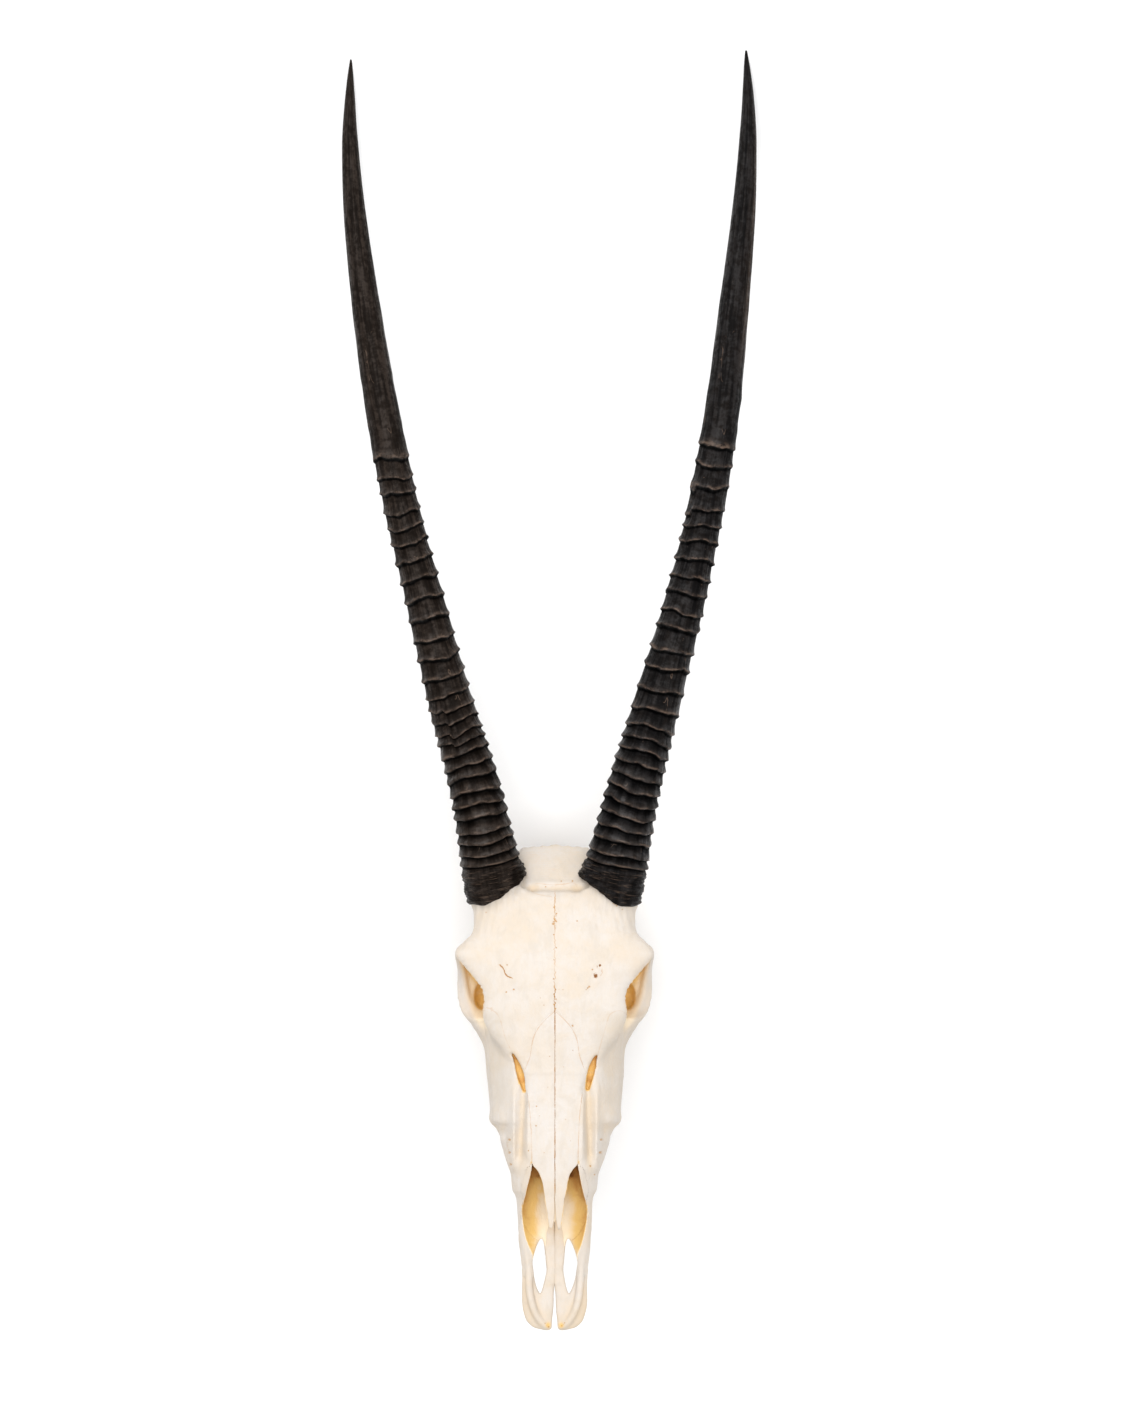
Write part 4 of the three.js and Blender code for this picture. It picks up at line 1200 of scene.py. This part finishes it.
class SKULL_OT_cranium(bpy.types.Operator):
    """Builds the cranium: braincase, forehead, cheeks and upper jaw"""

    bl_idname = "skull.cranium"
    bl_label = "Cranium"

    def execute(self, context):
        sizes = context.scene.skull_sizes
        grain = in_mm(sizes.grain)
        across = (np.arange(int(90 / grain)) + 0.5) * grain
        along = self.places((50, 110, grain * 1.2), (110, 380, grain), (380, 414, grain * 1.2))
        up = self.places((-167.3, -74, grain * 2), (-74, -38, grain * 1.7), (-38, 9, grain))
        block = Block(across, along, up)
        cranium(block)
        block.raise_by(face_relief, [0, 100, -60], [90, 414, 10])
        block.mirror()
        self.small_cuts(block, in_mm(sizes.suture_depth))
        points, faces = block.skin()
        points = eased(points, faces, 1)
        values = {"hollow": block.hollowness(), **self.tones(*points.T), **self.marks(points)}
        x, y, z = points.T
        points[:, 0] += 0.5 * ripple(y * 0.03, 1.3) - 0.8 * step(60, 100, -x) * step(-70, -30, z)
        piece("cranium_bone", points, (faces,), bone_paint("bone"), "cranium", values)
        return {"FINISHED"}

    def places(self, *spans):
        """Places along an axis of the grid, by spans of low, high and step."""
        return np.concatenate([np.arange(*span) for span in spans])

    def slit(self, name, floor):
        """The slit on one side of the face, down to a floor, as a shape."""
        side = SIDES[name]
        return slot_through([[side * x, y, radius] for x, y, radius in SLIT[name]], floor, 12)

    def small_cuts(self, block, suture_depth):
        """Cuts in both sides at once: slits, dents, toothed seams and the seat of the nose bones."""
        for name in SIDES:
            block.cut(self.slit(name, SLIT_FLOOR), 1.2)
        low, high = np.array([-30, 84, -12]), np.array([30, 270, 12])
        block.cut((lambda x, y, z: nose_seat(np.abs(x), y, z), low, high), 0.4)

        def seam(x, y, z):
            return -suture_depth * bell(x - midline(y), 0.9) * step(262, 270, y) * step(374, 366, y)

        block.raise_by(seam, [-6, 260, -20], [6, 378, 10])
        margin = carried(FOREHEAD)

        def ragged(x, y, z):
            edge = np.abs(x) - read(margin, y)
            saw = np.abs((y / 3.3 + np.sign(x) * 0.3) % 1 - 0.5) * 2 - 0.5
            share = bell(edge, 4) * step(264, 270, y) * step(318, 312, y) * step(-24, -12, z)
            return (1.2 * saw + 0.6 * ripple(y * 1.3, 2)) * share

        block.raise_by(ragged, [-90, 262, -30], [90, 320, 10])
        for across, along, length, width, depth in DENTS:

            def dent(x, y, z):
                return -depth * bell(np.hypot((x - across) / width, (y - along) / length), 1)

            block.raise_by(dent, [across - 8, along - 22, -14], [across + 8, along + 22, 10])

    def tones(self, x, y, z):
        """Shares of staining with painted shade, of a painted lighter tint, of grey and of warm bone:
        staining and painted shade in the nose, eye sockets, slits and braincase, the lighter tint behind the
        rims of the eye sockets and on the nose floor, grey on the cheeks and as painted shade in the channel
        beside the nose bones, and warm patches, some of them painted shade."""
        out = np.abs(x)
        margin = read(carried(FOREHEAD), y)
        rim = read(carried([row[1::-1] for row in EYE_RIM]), y)
        inward = (rim + 0.5 - out) / np.maximum(rim - margin + 3, 1)
        depth = -loft(MUZZLE, MUZZLE_POWER)[0](out, y, z)
        slit = np.minimum(*(self.slit(name, SLIT_STAIN_AND_SHADE_FLOOR)[0](x, y, z) for name in SIDES))
        nose = nose_stain_and_shade(out, y, z)
        cave = np.abs(loft(NOSE_CAVE, NOSE_CAVE_POWER)[0](out, y, z))
        socket = step(-0.05, 0.5, inward) * step(252, 268, y) * step(322, 317, y)
        socket = socket * step(-7, -16, z) * step(-72, -66, z)
        in_socket = 0.03 + 0.14 * step(0.2, 1, inward) + 0.24 * step(0.1, 0.9, inward) * step(280, 300, y)
        brain = step(20, 12, np.hypot(out, (z + 118) * 0.8 + (y - 380) * 0.3)) * step(350, 372, y)
        brow = step(2.2, 0.4, np.abs(out - margin)) * step(262, 270, y) * step(319, 314, y)
        # Staining mixed with painted shade: darker deep in the nose and its cave, inward under the brow in
        # the eye sockets, in the socket's pocket and depth, in the slits and in the braincase, where shade
        # falls.
        stain = np.max([
            nose,
            0.8 * step(1.8, 0.3, cave) * step(0.6, 3, depth),
            socket * in_socket,
            0.4 * step(2, -1, EYE_POCKET[0](out, y, z)) * step(-30, -44, z),
            0.6 * step(2, -1, EYE_DEPTH[0](out, y, z)),
            (0.4 + 0.16 * ripple(y * 0.35, 2)) * step(1.3, 0.4, slit) * step(0.5, 2.2, depth),
            0.5 * brain,
            0.16 * brow * step(-12, -4, z),
        ], axis=0)
        groove = bell(out - 28.5, 3) * step(126, 140, y) * step(210, 190, y) * step(-20, -12, z)
        warm = np.max([
            np.full(len(x), 0.12),
            0.8 * step(3.5, 0.6, slit) * step(-8, -3, z),
            0.6 * step(7, 0, 409 - y) * (z < -20),
            # Painted shade: tan in the two hollows under the ledge at the back of the forehead.
            0.7 * bell(np.hypot(out - 18, y - 371), 4.5) * step(-40, -30, z),
            # Painted shade: the channel beside the nose bones warmer, more so on the right side, away from
            # the light.
            (0.45 + 0.4 * (x > 0)) * groove,
            0.6 * bell(y - 172 + (out - 40) * 0.3, 6) * step(36, 44, out),
            0.55 * step(54, 60, out) * step(258, 244, y) * step(-20, -32, z),
        ], axis=0)
        cheek = step(38, 48, out) * step(272, 262, y) * step(176, 200, y)
        # Painted shade: grey in the channel beside the nose bones.
        beside_nose = bell(x - 28, 4) * step(140, 150, y) * step(216, 200, y)
        # A painted lighter tint behind the rims of the eye sockets and on the nose floor, to lift the shade
        # there.
        behind_rim = step(-0.1, 0.3, inward) * step(246, 262, y) * step(324, 318, y)
        behind_rim = behind_rim * step(-5, -14, z) * step(-80, -72, z)
        return {
            "stain": stain,
            "warm": np.clip(warm, 0, 1),
            "grey": np.clip(0.1 + 0.75 * cheek + 0.5 * beside_nose, 0, 1),
            "cream": np.maximum(behind_rim, 0.9 * step(0, NOSE_FLOOR_STAIN_AND_SHADE, nose)),
        }

    def marks(self, points):
        """The nearest seam line and the nearest small hole on the upper face. The seam down the middle counts
        as a line too."""
        x, y, z = points.T
        face = z > -46
        seam, share = np.full(len(x), FAR), np.zeros(len(x))
        seam[face], share[face] = seam_lines(points[face], SEAMS)
        middle = x - midline(y)
        central = (np.abs(middle) < np.abs(seam)) & (z > -20)
        strength = 0.55 + 0.45 * step(300, 285, y) + 0.3 * step(330, 350, y)
        strength = strength * step(264, 268, y) * step(372, 364, y) * step(5, 4, np.abs(middle))
        upper = step(-30, -12, z)
        return {
            "seam": np.where(central, middle, seam),
            "seam_share": np.where(central, strength, share) * upper,
            "pit": pits(points, FACE_PITS) * upper[:, None],
        }


# --------------------------------------------------------------------------------------------------
# Teeth
# --------------------------------------------------------------------------------------------------

# Name, length along the row, width across, distance out, number of lobes.
TEETH = [("p2", 11.5, 9, 28, 1), ("p3", 13, 11, 29, 1), ("p4", 13, 13, 30.5, 1), ("m1", 17, 16, 32.5, 2),
         ("m2", 21, 17, 35, 2), ("m3", 22, 16, 36.5, 2)]
TOOTH_ROW = {"start": 163, "up": -104.5, "slope": 0.335}
TOOTH_CROWN = 20
TOOTH_GAP = 0.6
TOOTH_POWER = 3.2


def tooth(side, start, length, width, out, lobes):
    """A crown as a grid: columns go round a squared outline pinched between its lobes, rows run down the
    crown and then in over the chewing face, whose height has a crescent ridge on each lobe."""
    columns, down, inward = 72, 26, 18
    turn = np.linspace(0, 2 * math.pi, columns, endpoint=False)
    cos, sin = np.cos(turn), np.sin(turn)
    squareness = (np.abs(cos) ** TOOTH_POWER + np.abs(sin) ** TOOTH_POWER) ** (-1 / TOOTH_POWER)
    pinch = 1 - 0.16 * bell(cos, 0.28) * (lobes == 2) + 0.07 * np.cos(turn * 4 * lobes) * sin**2
    reach = squareness * pinch
    depth = np.linspace(TOOTH_CROWN, 0, down)
    taper = 0.74 + 0.24 * step(TOOTH_CROWN, 8, depth) - 0.04 * step(2, 0, depth)
    share = np.linspace(1, 0, inward + 1)[1:] ** 0.8
    scale = np.concatenate([[0.0], taper, taper[-1] * share])[:, None]
    lift = np.concatenate([[TOOTH_CROWN], depth, np.zeros(inward)])[:, None]
    along = sin * reach * (length - TOOTH_GAP) / 2 * scale
    across = cos * reach * width / 2 * scale
    place = along / length * lobes + 0.5 * (lobes == 2)
    crest = np.abs(place % 1 - 0.5) * 2
    ring = np.hypot(across / width * 2.1, (crest - 0.5) * 1.2)
    ridges = (1.1 * bell(ring - 0.62, 0.16) - 1.2 * bell(ring, 0.32)) * step(0, 0.12, 1 - scale / taper[-1])
    chewing = np.arange(len(scale))[:, None] > down
    y = start + length / 2 + along
    height = TOOTH_ROW["up"] - (y - TOOTH_ROW["start"]) * TOOTH_ROW["slope"] + lift - ridges * chewing
    points = np.stack([side * (out + across), y, height], -1)
    faces = wrapped(points.shape[:2])
    folds = 0.75 * bell(ring, 0.34) * (chewing & (ridges != 0))
    stain = np.clip(folds + 0.35 * step(4, 0, lift), 0, 1)
    return listed(points), turned_round(faces) if side < 0 else faces, listed(stain)


class SKULL_OT_teeth(bpy.types.Operator):
    """Builds the twelve cheek teeth"""

    bl_idname = "skull.teeth"
    bl_label = "Cheek teeth"

    def execute(self, context):
        paint = tooth_paint("enamel")
        for name, side in SIDES.items():
            start = TOOTH_ROW["start"]
            for kind, length, width, out, lobes in TEETH:
                points, faces, stain = tooth(side, start, length, width, out, lobes)
                values = {"stain": stain}
                piece(f"{kind}_{name}_crown", points, faces, paint, f"tooth_{name}_{kind}", values)
                start += length
        return {"FINISHED"}


# --------------------------------------------------------------------------------------------------
# Horns
# --------------------------------------------------------------------------------------------------

# Line from above (across, along), radius at the foot, distances of the ring crests from the foot, the fault
# in the rings (from, to, turn and size), swellings past the rings, shares of brown lips and of a brown
# streak, and a seed for the waves.
HORNS = {
    "left": {
        "line": [
            [-49, 365], [-66.4, 452.8], [-89, 533.4], [-109.2, 614], [-129.4, 694.7], [-145.3, 775.3],
            [-157.9, 856], [-168, 936.6], [-172.2, 997.1], [-172.4, 1037.4], [-171.8, 1069],
        ],
        "radius": 25.4,
        "rings": [
            31, 39, 49, 58, 71, 81, 92, 105, 115, 126, 134, 142, 153, 163, 177, 192, 209, 225, 243, 260,
            277, 293, 308, 321, 334, 351, 363, 380,
        ],
        "fault": (128, 172, 1.95, -4.2), "swellings": (392, 408, 450),
        "brown": 0.55, "streak": 0.0, "seed": 3.0,
    },
    "right": {
        "line": [
            [46.2, 365], [65.5, 452.8], [87.4, 533.4], [109.2, 614], [127.3, 694.7], [140.7, 775.3],
            [149.9, 856], [158.3, 936.6], [162.1, 997.1], [162.5, 1037.4], [160.9, 1076.6],
        ],
        "radius": 26.4,
        "rings": [
            30, 38, 50, 60, 71, 82, 93, 104, 115, 126, 136, 147, 162, 179, 199, 214, 234, 247, 264, 277,
            293, 309, 322, 336, 356, 374, 390,
        ],
        "fault": (322, 354, 2.4, 5.0), "swellings": (404, 432),
        "brown": 0.5, "streak": 1.3, "seed": 8.0,
    },
}
# Height of the foot's centre, how far the line bows up, the sheath's wall, and the scale of the paint's own
# coordinates round and along the horn.
HORN_ROOT_UP = -22
HORN_RISE = 30
HORN_WALL = 3.2
WRAP_SCALE = 0.018
WRAP_LENGTH = 18
# The share of a crest that the paint reads where there are no rings; it sets the painted highlight and shade
# there.
SMOOTH_CREST = 0.42
# Share of the length from the foot, and the radius there over the radius at the foot.
HORN_TAPER = np.array([
    [0, 1], [0.06, 0.955], [0.12, 0.885], [0.2, 0.81], [0.3, 0.725], [0.4, 0.655], [0.5, 0.6], [0.6, 0.54],
    [0.7, 0.475], [0.81, 0.375], [0.9, 0.27], [0.95, 0.175], [0.98, 0.1], [1, 0.03],
])
# The waves of a ring's line round the horn: height, waves round, shift along the horn, and shift of the seed.
RING_WAVES = (
    (1.3, 1, 0.011, 1), (1.15, 2, 0.043, 1), (0.75, 3, -0.071, 2), (0.4, 5, 0.13, 0), (0.2, 9, -0.21, 1),
    (0.3, 7, 0.37, 0), (0.08, 23, 0.53, 0),
)


def horn_path(horn, distance):
    """Centre, sideways and upward directions, and tangent of a horn at distances from its foot, and its
    length. Seen from the side its line bows up by a parabola between the foot and the tip, which lies on the
    table."""
    rows = carried(horn["line"], 40)
    t = (rows[:, 1] - rows[0, 1]) / (rows[-1, 1] - rows[0, 1])
    tip = table_height(rows[-1, 1]) + horn["radius"] * HORN_TAPER[-1, 1]
    up = HORN_ROOT_UP + (tip - HORN_ROOT_UP) * t + HORN_RISE * 4 * t * (1 - t)
    line = np.column_stack([rows, up])
    travelled = np.concatenate([[0], np.cumsum(np.linalg.norm(np.diff(line, axis=0), axis=1))])
    length = travelled[-1]

    def at(where):
        return np.stack([np.interp(where, travelled, line[:, n]) for n in range(3)], -1)

    tangent = at(np.clip(distance + 4, 0, length)) - at(np.clip(distance - 4, 0, length))
    tangent /= np.linalg.norm(tangent, axis=-1, keepdims=True)
    across = np.cross(tangent, [0, 0, 1])
    across /= np.linalg.norm(across, axis=-1, keepdims=True)
    return at(distance), across, np.cross(across, tangent), tangent, length


def ring_wave(horn, distance, turn):
    """How far a ring's line is shifted along the horn at a turn round it: a sum of sine waves, and a step
    where the rings have a fault."""
    seed = horn["seed"]
    wave = sum(size * np.sin(times * turn + along * distance + shift * seed)
               for size, times, along, shift in RING_WAVES)
    wave = wave + 0.12 * np.sin(14 * turn - distance * 0.29 + 3 * np.sin(turn))
    low, high, fault_turn, size = horn["fault"]
    in_fault = step(low - 4, low + 4, distance) * step(high + 4, high - 4, distance)
    return wave + size * in_fault * step(-0.07, 0.07, turn - fault_turn) * step(4.6, 4.0, turn)


def horn_folds(horn, distance, turn):
    """Height of the folds at the horn's foot, the fibres along it, and the swellings past the rings, all sums
    of sine waves, and how much of the foot is there."""
    seed, first, last = horn["seed"], horn["rings"][0], horn["rings"][-1]
    foot = step(first + 2, first - 10, distance)
    smooth = step(last - 10, last + 30, distance)
    folds = 0.3 * np.sin(distance * 1.75 + 1.5 * np.sin(turn * 2 + seed) + 0.8 * np.sin(turn * 7))
    folds = folds + 0.24 * np.sin(distance * 3.1 + 2 * np.sin(turn + seed) + 0.6 * np.sin(turn * 11))
    folds = folds + 0.4 * np.sin(distance * 0.52 + np.sin(turn * 3) + seed)
    fibres = 0.05 * np.sin(turn * 53 + 1.4 * np.sin(distance * 0.05))
    fibres = fibres + 0.06 * np.sin(turn * 31 + distance * 0.02)
    swell = sum(bell(distance - place, 5) for place in horn["swellings"]) * (0.3 + 0.2 * np.sin(turn + seed))
    bends = 0.14 * np.sin(distance * 0.16 + seed + 0.6 * np.sin(turn)) * smooth * step(620, 420, distance)
    return 1.7 * folds * foot + fibres * (1 - foot) * (1 - 0.6 * smooth) + swell + bends, foot


def horn_relief(horn, distance, turn, ring_height):
    """Height of the relief at a distance along the horn and a turn round it, and how much of a lip, a groove,
    the foot and a crest is there. Between two crests u runs 0 to 1. From the crest at 0 the flank falls away
    towards the tip: on the upper rings by a straight part plus a high power, which is hollow, and on the
    round lower ones by a cosine. It ends in a groove near 0.85, and then rises steeply to the next crest."""
    rings = np.array(horn["rings"], float)
    first, last, count = rings[0], rings[-1], len(rings)
    where = distance + ring_wave(horn, distance, turn) * step(14, 55, distance)
    number = np.interp(where, rings, np.arange(count))
    past = where > last
    u = np.where(where < first, 1 - np.clip((first - where) / 9, 0, 1), number % 1)
    u = np.where(past, np.clip((where - last) / 34, 0, 1) * 0.85, u)
    ringed = step(first - 9, first, where) * step(last + 36, last - 4, where)
    nth = np.floor(np.where(past, count - 1, number))
    size = 0.95 + 0.2 * np.sin(nth * 2.3 + horn["seed"]) + 0.22 * np.sin(nth * 5.1 + turn * 2)
    size = size * (1 - 0.35 * step(300, 380, distance)) * (0.82 + 0.18 * np.sin(turn))
    rounder = step(190, 90, distance)
    left = 1 - np.clip(u / 0.88, 0, 1)
    hollow_flank = 0.12 * left + 0.88 * left**4.5
    round_flank = (0.5 + 0.5 * np.cos(math.pi * np.clip((u - 0.05) / 0.58, 0, 1))) ** 0.85
    flank = hollow_flank + (round_flank - hollow_flank) * rounder
    height = np.maximum(flank, step(0.81 - 0.04 * rounder, 0.99, u) * (~past))
    groove = bell(u - 0.89 + 0.07 * rounder, 0.1) * (~past)
    lip = np.maximum(bell(u, 0.085), bell(u - 1, 0.05) * (~past))
    least = 0.3 * (1 - rounder)
    crest = SMOOTH_CREST + (least + (1 - least) * height - 0.3 * groove - SMOOTH_CREST) * ringed
    height = ring_height * (height + (0.1 - 0.05 * rounder) * lip - 0.2 * groove - 0.4) * ringed * size
    folds, foot = horn_folds(horn, distance, turn)
    return height + folds, {"lip": lip * ringed, "groove": groove * ringed, "foot": foot, "crest": crest}


class SKULL_OT_horns(bpy.types.Operator):
    """Builds both horns: ringed below, smooth towards the tip"""

    bl_idname = "skull.horns"
    bl_label = "Horns"

    def execute(self, context):
        sizes, colours = context.scene.skull_sizes, context.scene.skull_colours
        steps = in_mm(sizes.horn_rows), in_mm(sizes.ring_height)
        for name, horn in HORNS.items():
            paint = horn_paint(f"horn_{name}", tuple(getattr(colours, f"horn_{name}")))
            points, faces, values = self.horn(horn, SIDES[name], *steps)
            piece(f"horn_{name}_sheath", points, faces, paint, f"horn_{name}", values)
        return {"FINISHED"}

    def horn(self, horn, side, row_step, ring_height):
        """A grid: rows run from inside the foot round its rim and out to the tip, columns go round it."""
        columns = 128
        ringed = horn["rings"][-1] + 30
        length = horn_path(horn, np.zeros(1))[4]
        out = np.concatenate([np.arange(0, ringed, row_step), np.linspace(ringed, length, 110)])
        turn = np.linspace(0, 2 * math.pi, columns, endpoint=False)[None, :]
        cos, sin = np.cos(turn), np.sin(turn)
        rim = -1.5 + 13.5 * np.clip((0.45 - cos * side) / 1.4, 0, 1) ** 1.15 - 1.2 * step(0.2, 1, sin)
        rim = rim + 0.45 * np.sin(turn * 3 + 1) + 0.35 * np.sin(turn * 8)
        distance = out[:, None] + rim * step(30, 0, out[:, None])
        relief, shares = horn_relief(horn, np.maximum(distance, 0), turn, ring_height)
        radius = horn["radius"] * read(HORN_TAPER, np.clip(distance / length, 0, 1))
        radius = radius - 1.0 * step(30, 60, distance) * step(ringed, 300, distance)
        radius = radius + relief * step(0, 60, length - distance) - 1.6 * bell(out, 1.2)[:, None]
        radius = radius + 4.2 * step(0.45, 1, -cos * side) * step(34, 8, distance)
        inside_share = np.array([[0.0], [0.55], [0.86]])
        inside_depth = np.array([[9.0], [9.0], [7.0]])
        tip = np.zeros((1, columns))
        radius = np.concatenate([inside_share * radius[:1], radius[:1] - HORN_WALL, radius, tip])
        distance = np.concatenate([inside_depth + distance[:1], distance[:1] + 0.8, distance, distance[-1:]])
        centre, across, up, tangent, _ = horn_path(horn, np.clip(distance, 0, length))
        centre = centre + tangent * np.minimum(distance, 0)[..., None]
        points = centre + across * (cos * radius)[..., None] + up * (sin * radius)[..., None]
        inner_rows = len(inside_share) + 1
        values = {key: listed(np.concatenate([share[:1].repeat(inner_rows, 0), share, share[-1:]]))
                  for key, share in shares.items()}
        streak = bell(cos * side - 0.85, 0.35) * bell(sin - 0.25, 0.5)
        streak = horn["streak"] * streak * step(430, 520, distance) * step(690, 600, distance)
        values["brown"] = np.clip(horn["brown"] * (0.5 * values["lip"] + 0.25) + listed(streak), 0, 1)
        wrap = [cos + 0 * distance, sin + 0 * distance, distance / WRAP_LENGTH]
        values["wrap"] = listed(np.stack(wrap, -1) * WRAP_SCALE)
        return listed(points), wrapped(points.shape[:2]), values


# --------------------------------------------------------------------------------------------------
# Stage
# --------------------------------------------------------------------------------------------------


class SKULL_OT_stage(bpy.types.Operator):
    """Lays the pale floor and sets soft light and the camera"""

    bl_idname = "skull.stage"
    bl_label = "Stage"

    # The middle and length of what the camera sees, in millimetres of the skull's frame, and its lens.
    VIEW_MIDDLE = (5.1, 529.0, -12.0)
    VIEW_LENGTH = 1177.7
    LENS = 300.0
    SENSOR = 36.0
    FLOOR_HALF = 9.0
    FLOOR_TONES = (0.93, 0.93, 0.93), (0.94, 0.94, 0.94)
    ROOM_LIGHT = 0.74
    # Place and size in metres, power in watts.
    LAMPS = {
        "key": ((-1.1, 2.4, 1.9), 1.6, 40),
        "overhead": ((0.0, 0.3, 3.4), 2.0, 62),
        "fill": ((1.5, 0.2, 2.8), 2.6, 14),
    }

    def execute(self, context):
        scene = context.scene
        self.floor(scene)
        world = bpy.data.worlds.new("studio")
        world.use_nodes = True
        sky = world.node_tree.nodes["Background"].inputs
        sky["Color"].default_value = (1, 1, 1, 1)
        sky["Strength"].default_value = self.ROOM_LIGHT
        scene.world = world
        for name, (place, size, power) in self.LAMPS.items():
            self.lamp(scene, name, place, size, power)
        self.camera(scene)
        scene.view_settings.view_transform = "Standard"
        scene.view_settings.look = "None"
        scene.view_settings.exposure = 0.0
        return {"FINISHED"}

    def floor(self, scene):
        """A pale, almost smooth sheet that the skull lies on."""
        half = self.FLOOR_HALF
        corners = [(-half, -half, 0), (half, -half, 0), (half, half, 0), (-half, half, 0)]
        mesh = bpy.data.meshes.new("floor")
        mesh.from_pydata(corners, [], [(0, 1, 2, 3)])
        paint = Paint("floor", 0.9, 0.1)
        grain = paint.noise(paint.place(), 40, 2)
        paint.finish(paint.blend(grain, *self.FLOOR_TONES), paint.bump(grain, 0.05, 0.1))
        mesh.materials.append(paint.material)
        floor = bpy.data.objects.new("floor", mesh)
        scene.collection.objects.link(floor)

    def camera(self, scene):
        """A long lens square over the face, so far away that it sees the view's length."""
        camera = bpy.data.cameras.new("camera")
        camera.lens, camera.sensor_width = self.LENS, self.SENSOR
        camera.clip_start, camera.clip_end = 0.1, 60
        away = self.VIEW_LENGTH * self.LENS / self.SENSOR
        spot = bpy.data.objects.new("camera", camera)
        spot.location = on_table([np.array(self.VIEW_MIDDLE) + [0, 0, away]])[0]
        spot.rotation_euler = (-REST_SLOPE, 0, 0)
        scene.collection.objects.link(spot)
        scene.camera = spot

    def lamp(self, scene, name, place, size, power):
        """A square lamp turned to the middle of the skull."""
        light = bpy.data.lights.new(name, "AREA")
        light.shape = "SQUARE"
        light.size, light.energy = size, power
        lamp = bpy.data.objects.new(name, light)
        lamp.location = place
        x, y, z = np.array([0, 0, 0.1]) - np.array(place)
        lamp.rotation_euler = (math.atan2(math.hypot(x, y), -z), 0, math.atan2(y, x) - math.pi / 2)
        scene.collection.objects.link(lamp)


class SKULL_PT_panel(bpy.types.Panel):
    """The skull's pieces"""

    bl_label = "Gemsbok skull"
    bl_space_type = "VIEW_3D"
    bl_region_type = "UI"
    bl_category = "Skull"

    def draw(self, context):
        for group in (context.scene.skull_sizes, context.scene.skull_colours):
            for key in group.__annotations__:
                self.layout.prop(group, key)
        for step_class in STEPS:
            self.layout.operator(step_class.bl_idname)


STEPS = (SKULL_OT_stage, SKULL_OT_nose, SKULL_OT_front_jaw, SKULL_OT_cranium, SKULL_OT_teeth, SKULL_OT_horns)
CLASSES = (SkullSizes, SkullColours, *STEPS, SKULL_PT_panel)


def register():
    for item in CLASSES:
        bpy.utils.register_class(item)
    bpy.types.Scene.skull_sizes = PointerProperty(type=SkullSizes)
    bpy.types.Scene.skull_colours = PointerProperty(type=SkullColours)


def unregister():
    del bpy.types.Scene.skull_sizes
    del bpy.types.Scene.skull_colours
    for item in reversed(CLASSES):
        bpy.utils.unregister_class(item)


def main():
    register()
    bpy.ops.skull.stage()
    bpy.ops.skull.nose()
    bpy.ops.skull.front_jaw()
    bpy.ops.skull.cranium()
    bpy.ops.skull.teeth()
    bpy.ops.skull.horns()


if __name__ == "__main__":
    main()
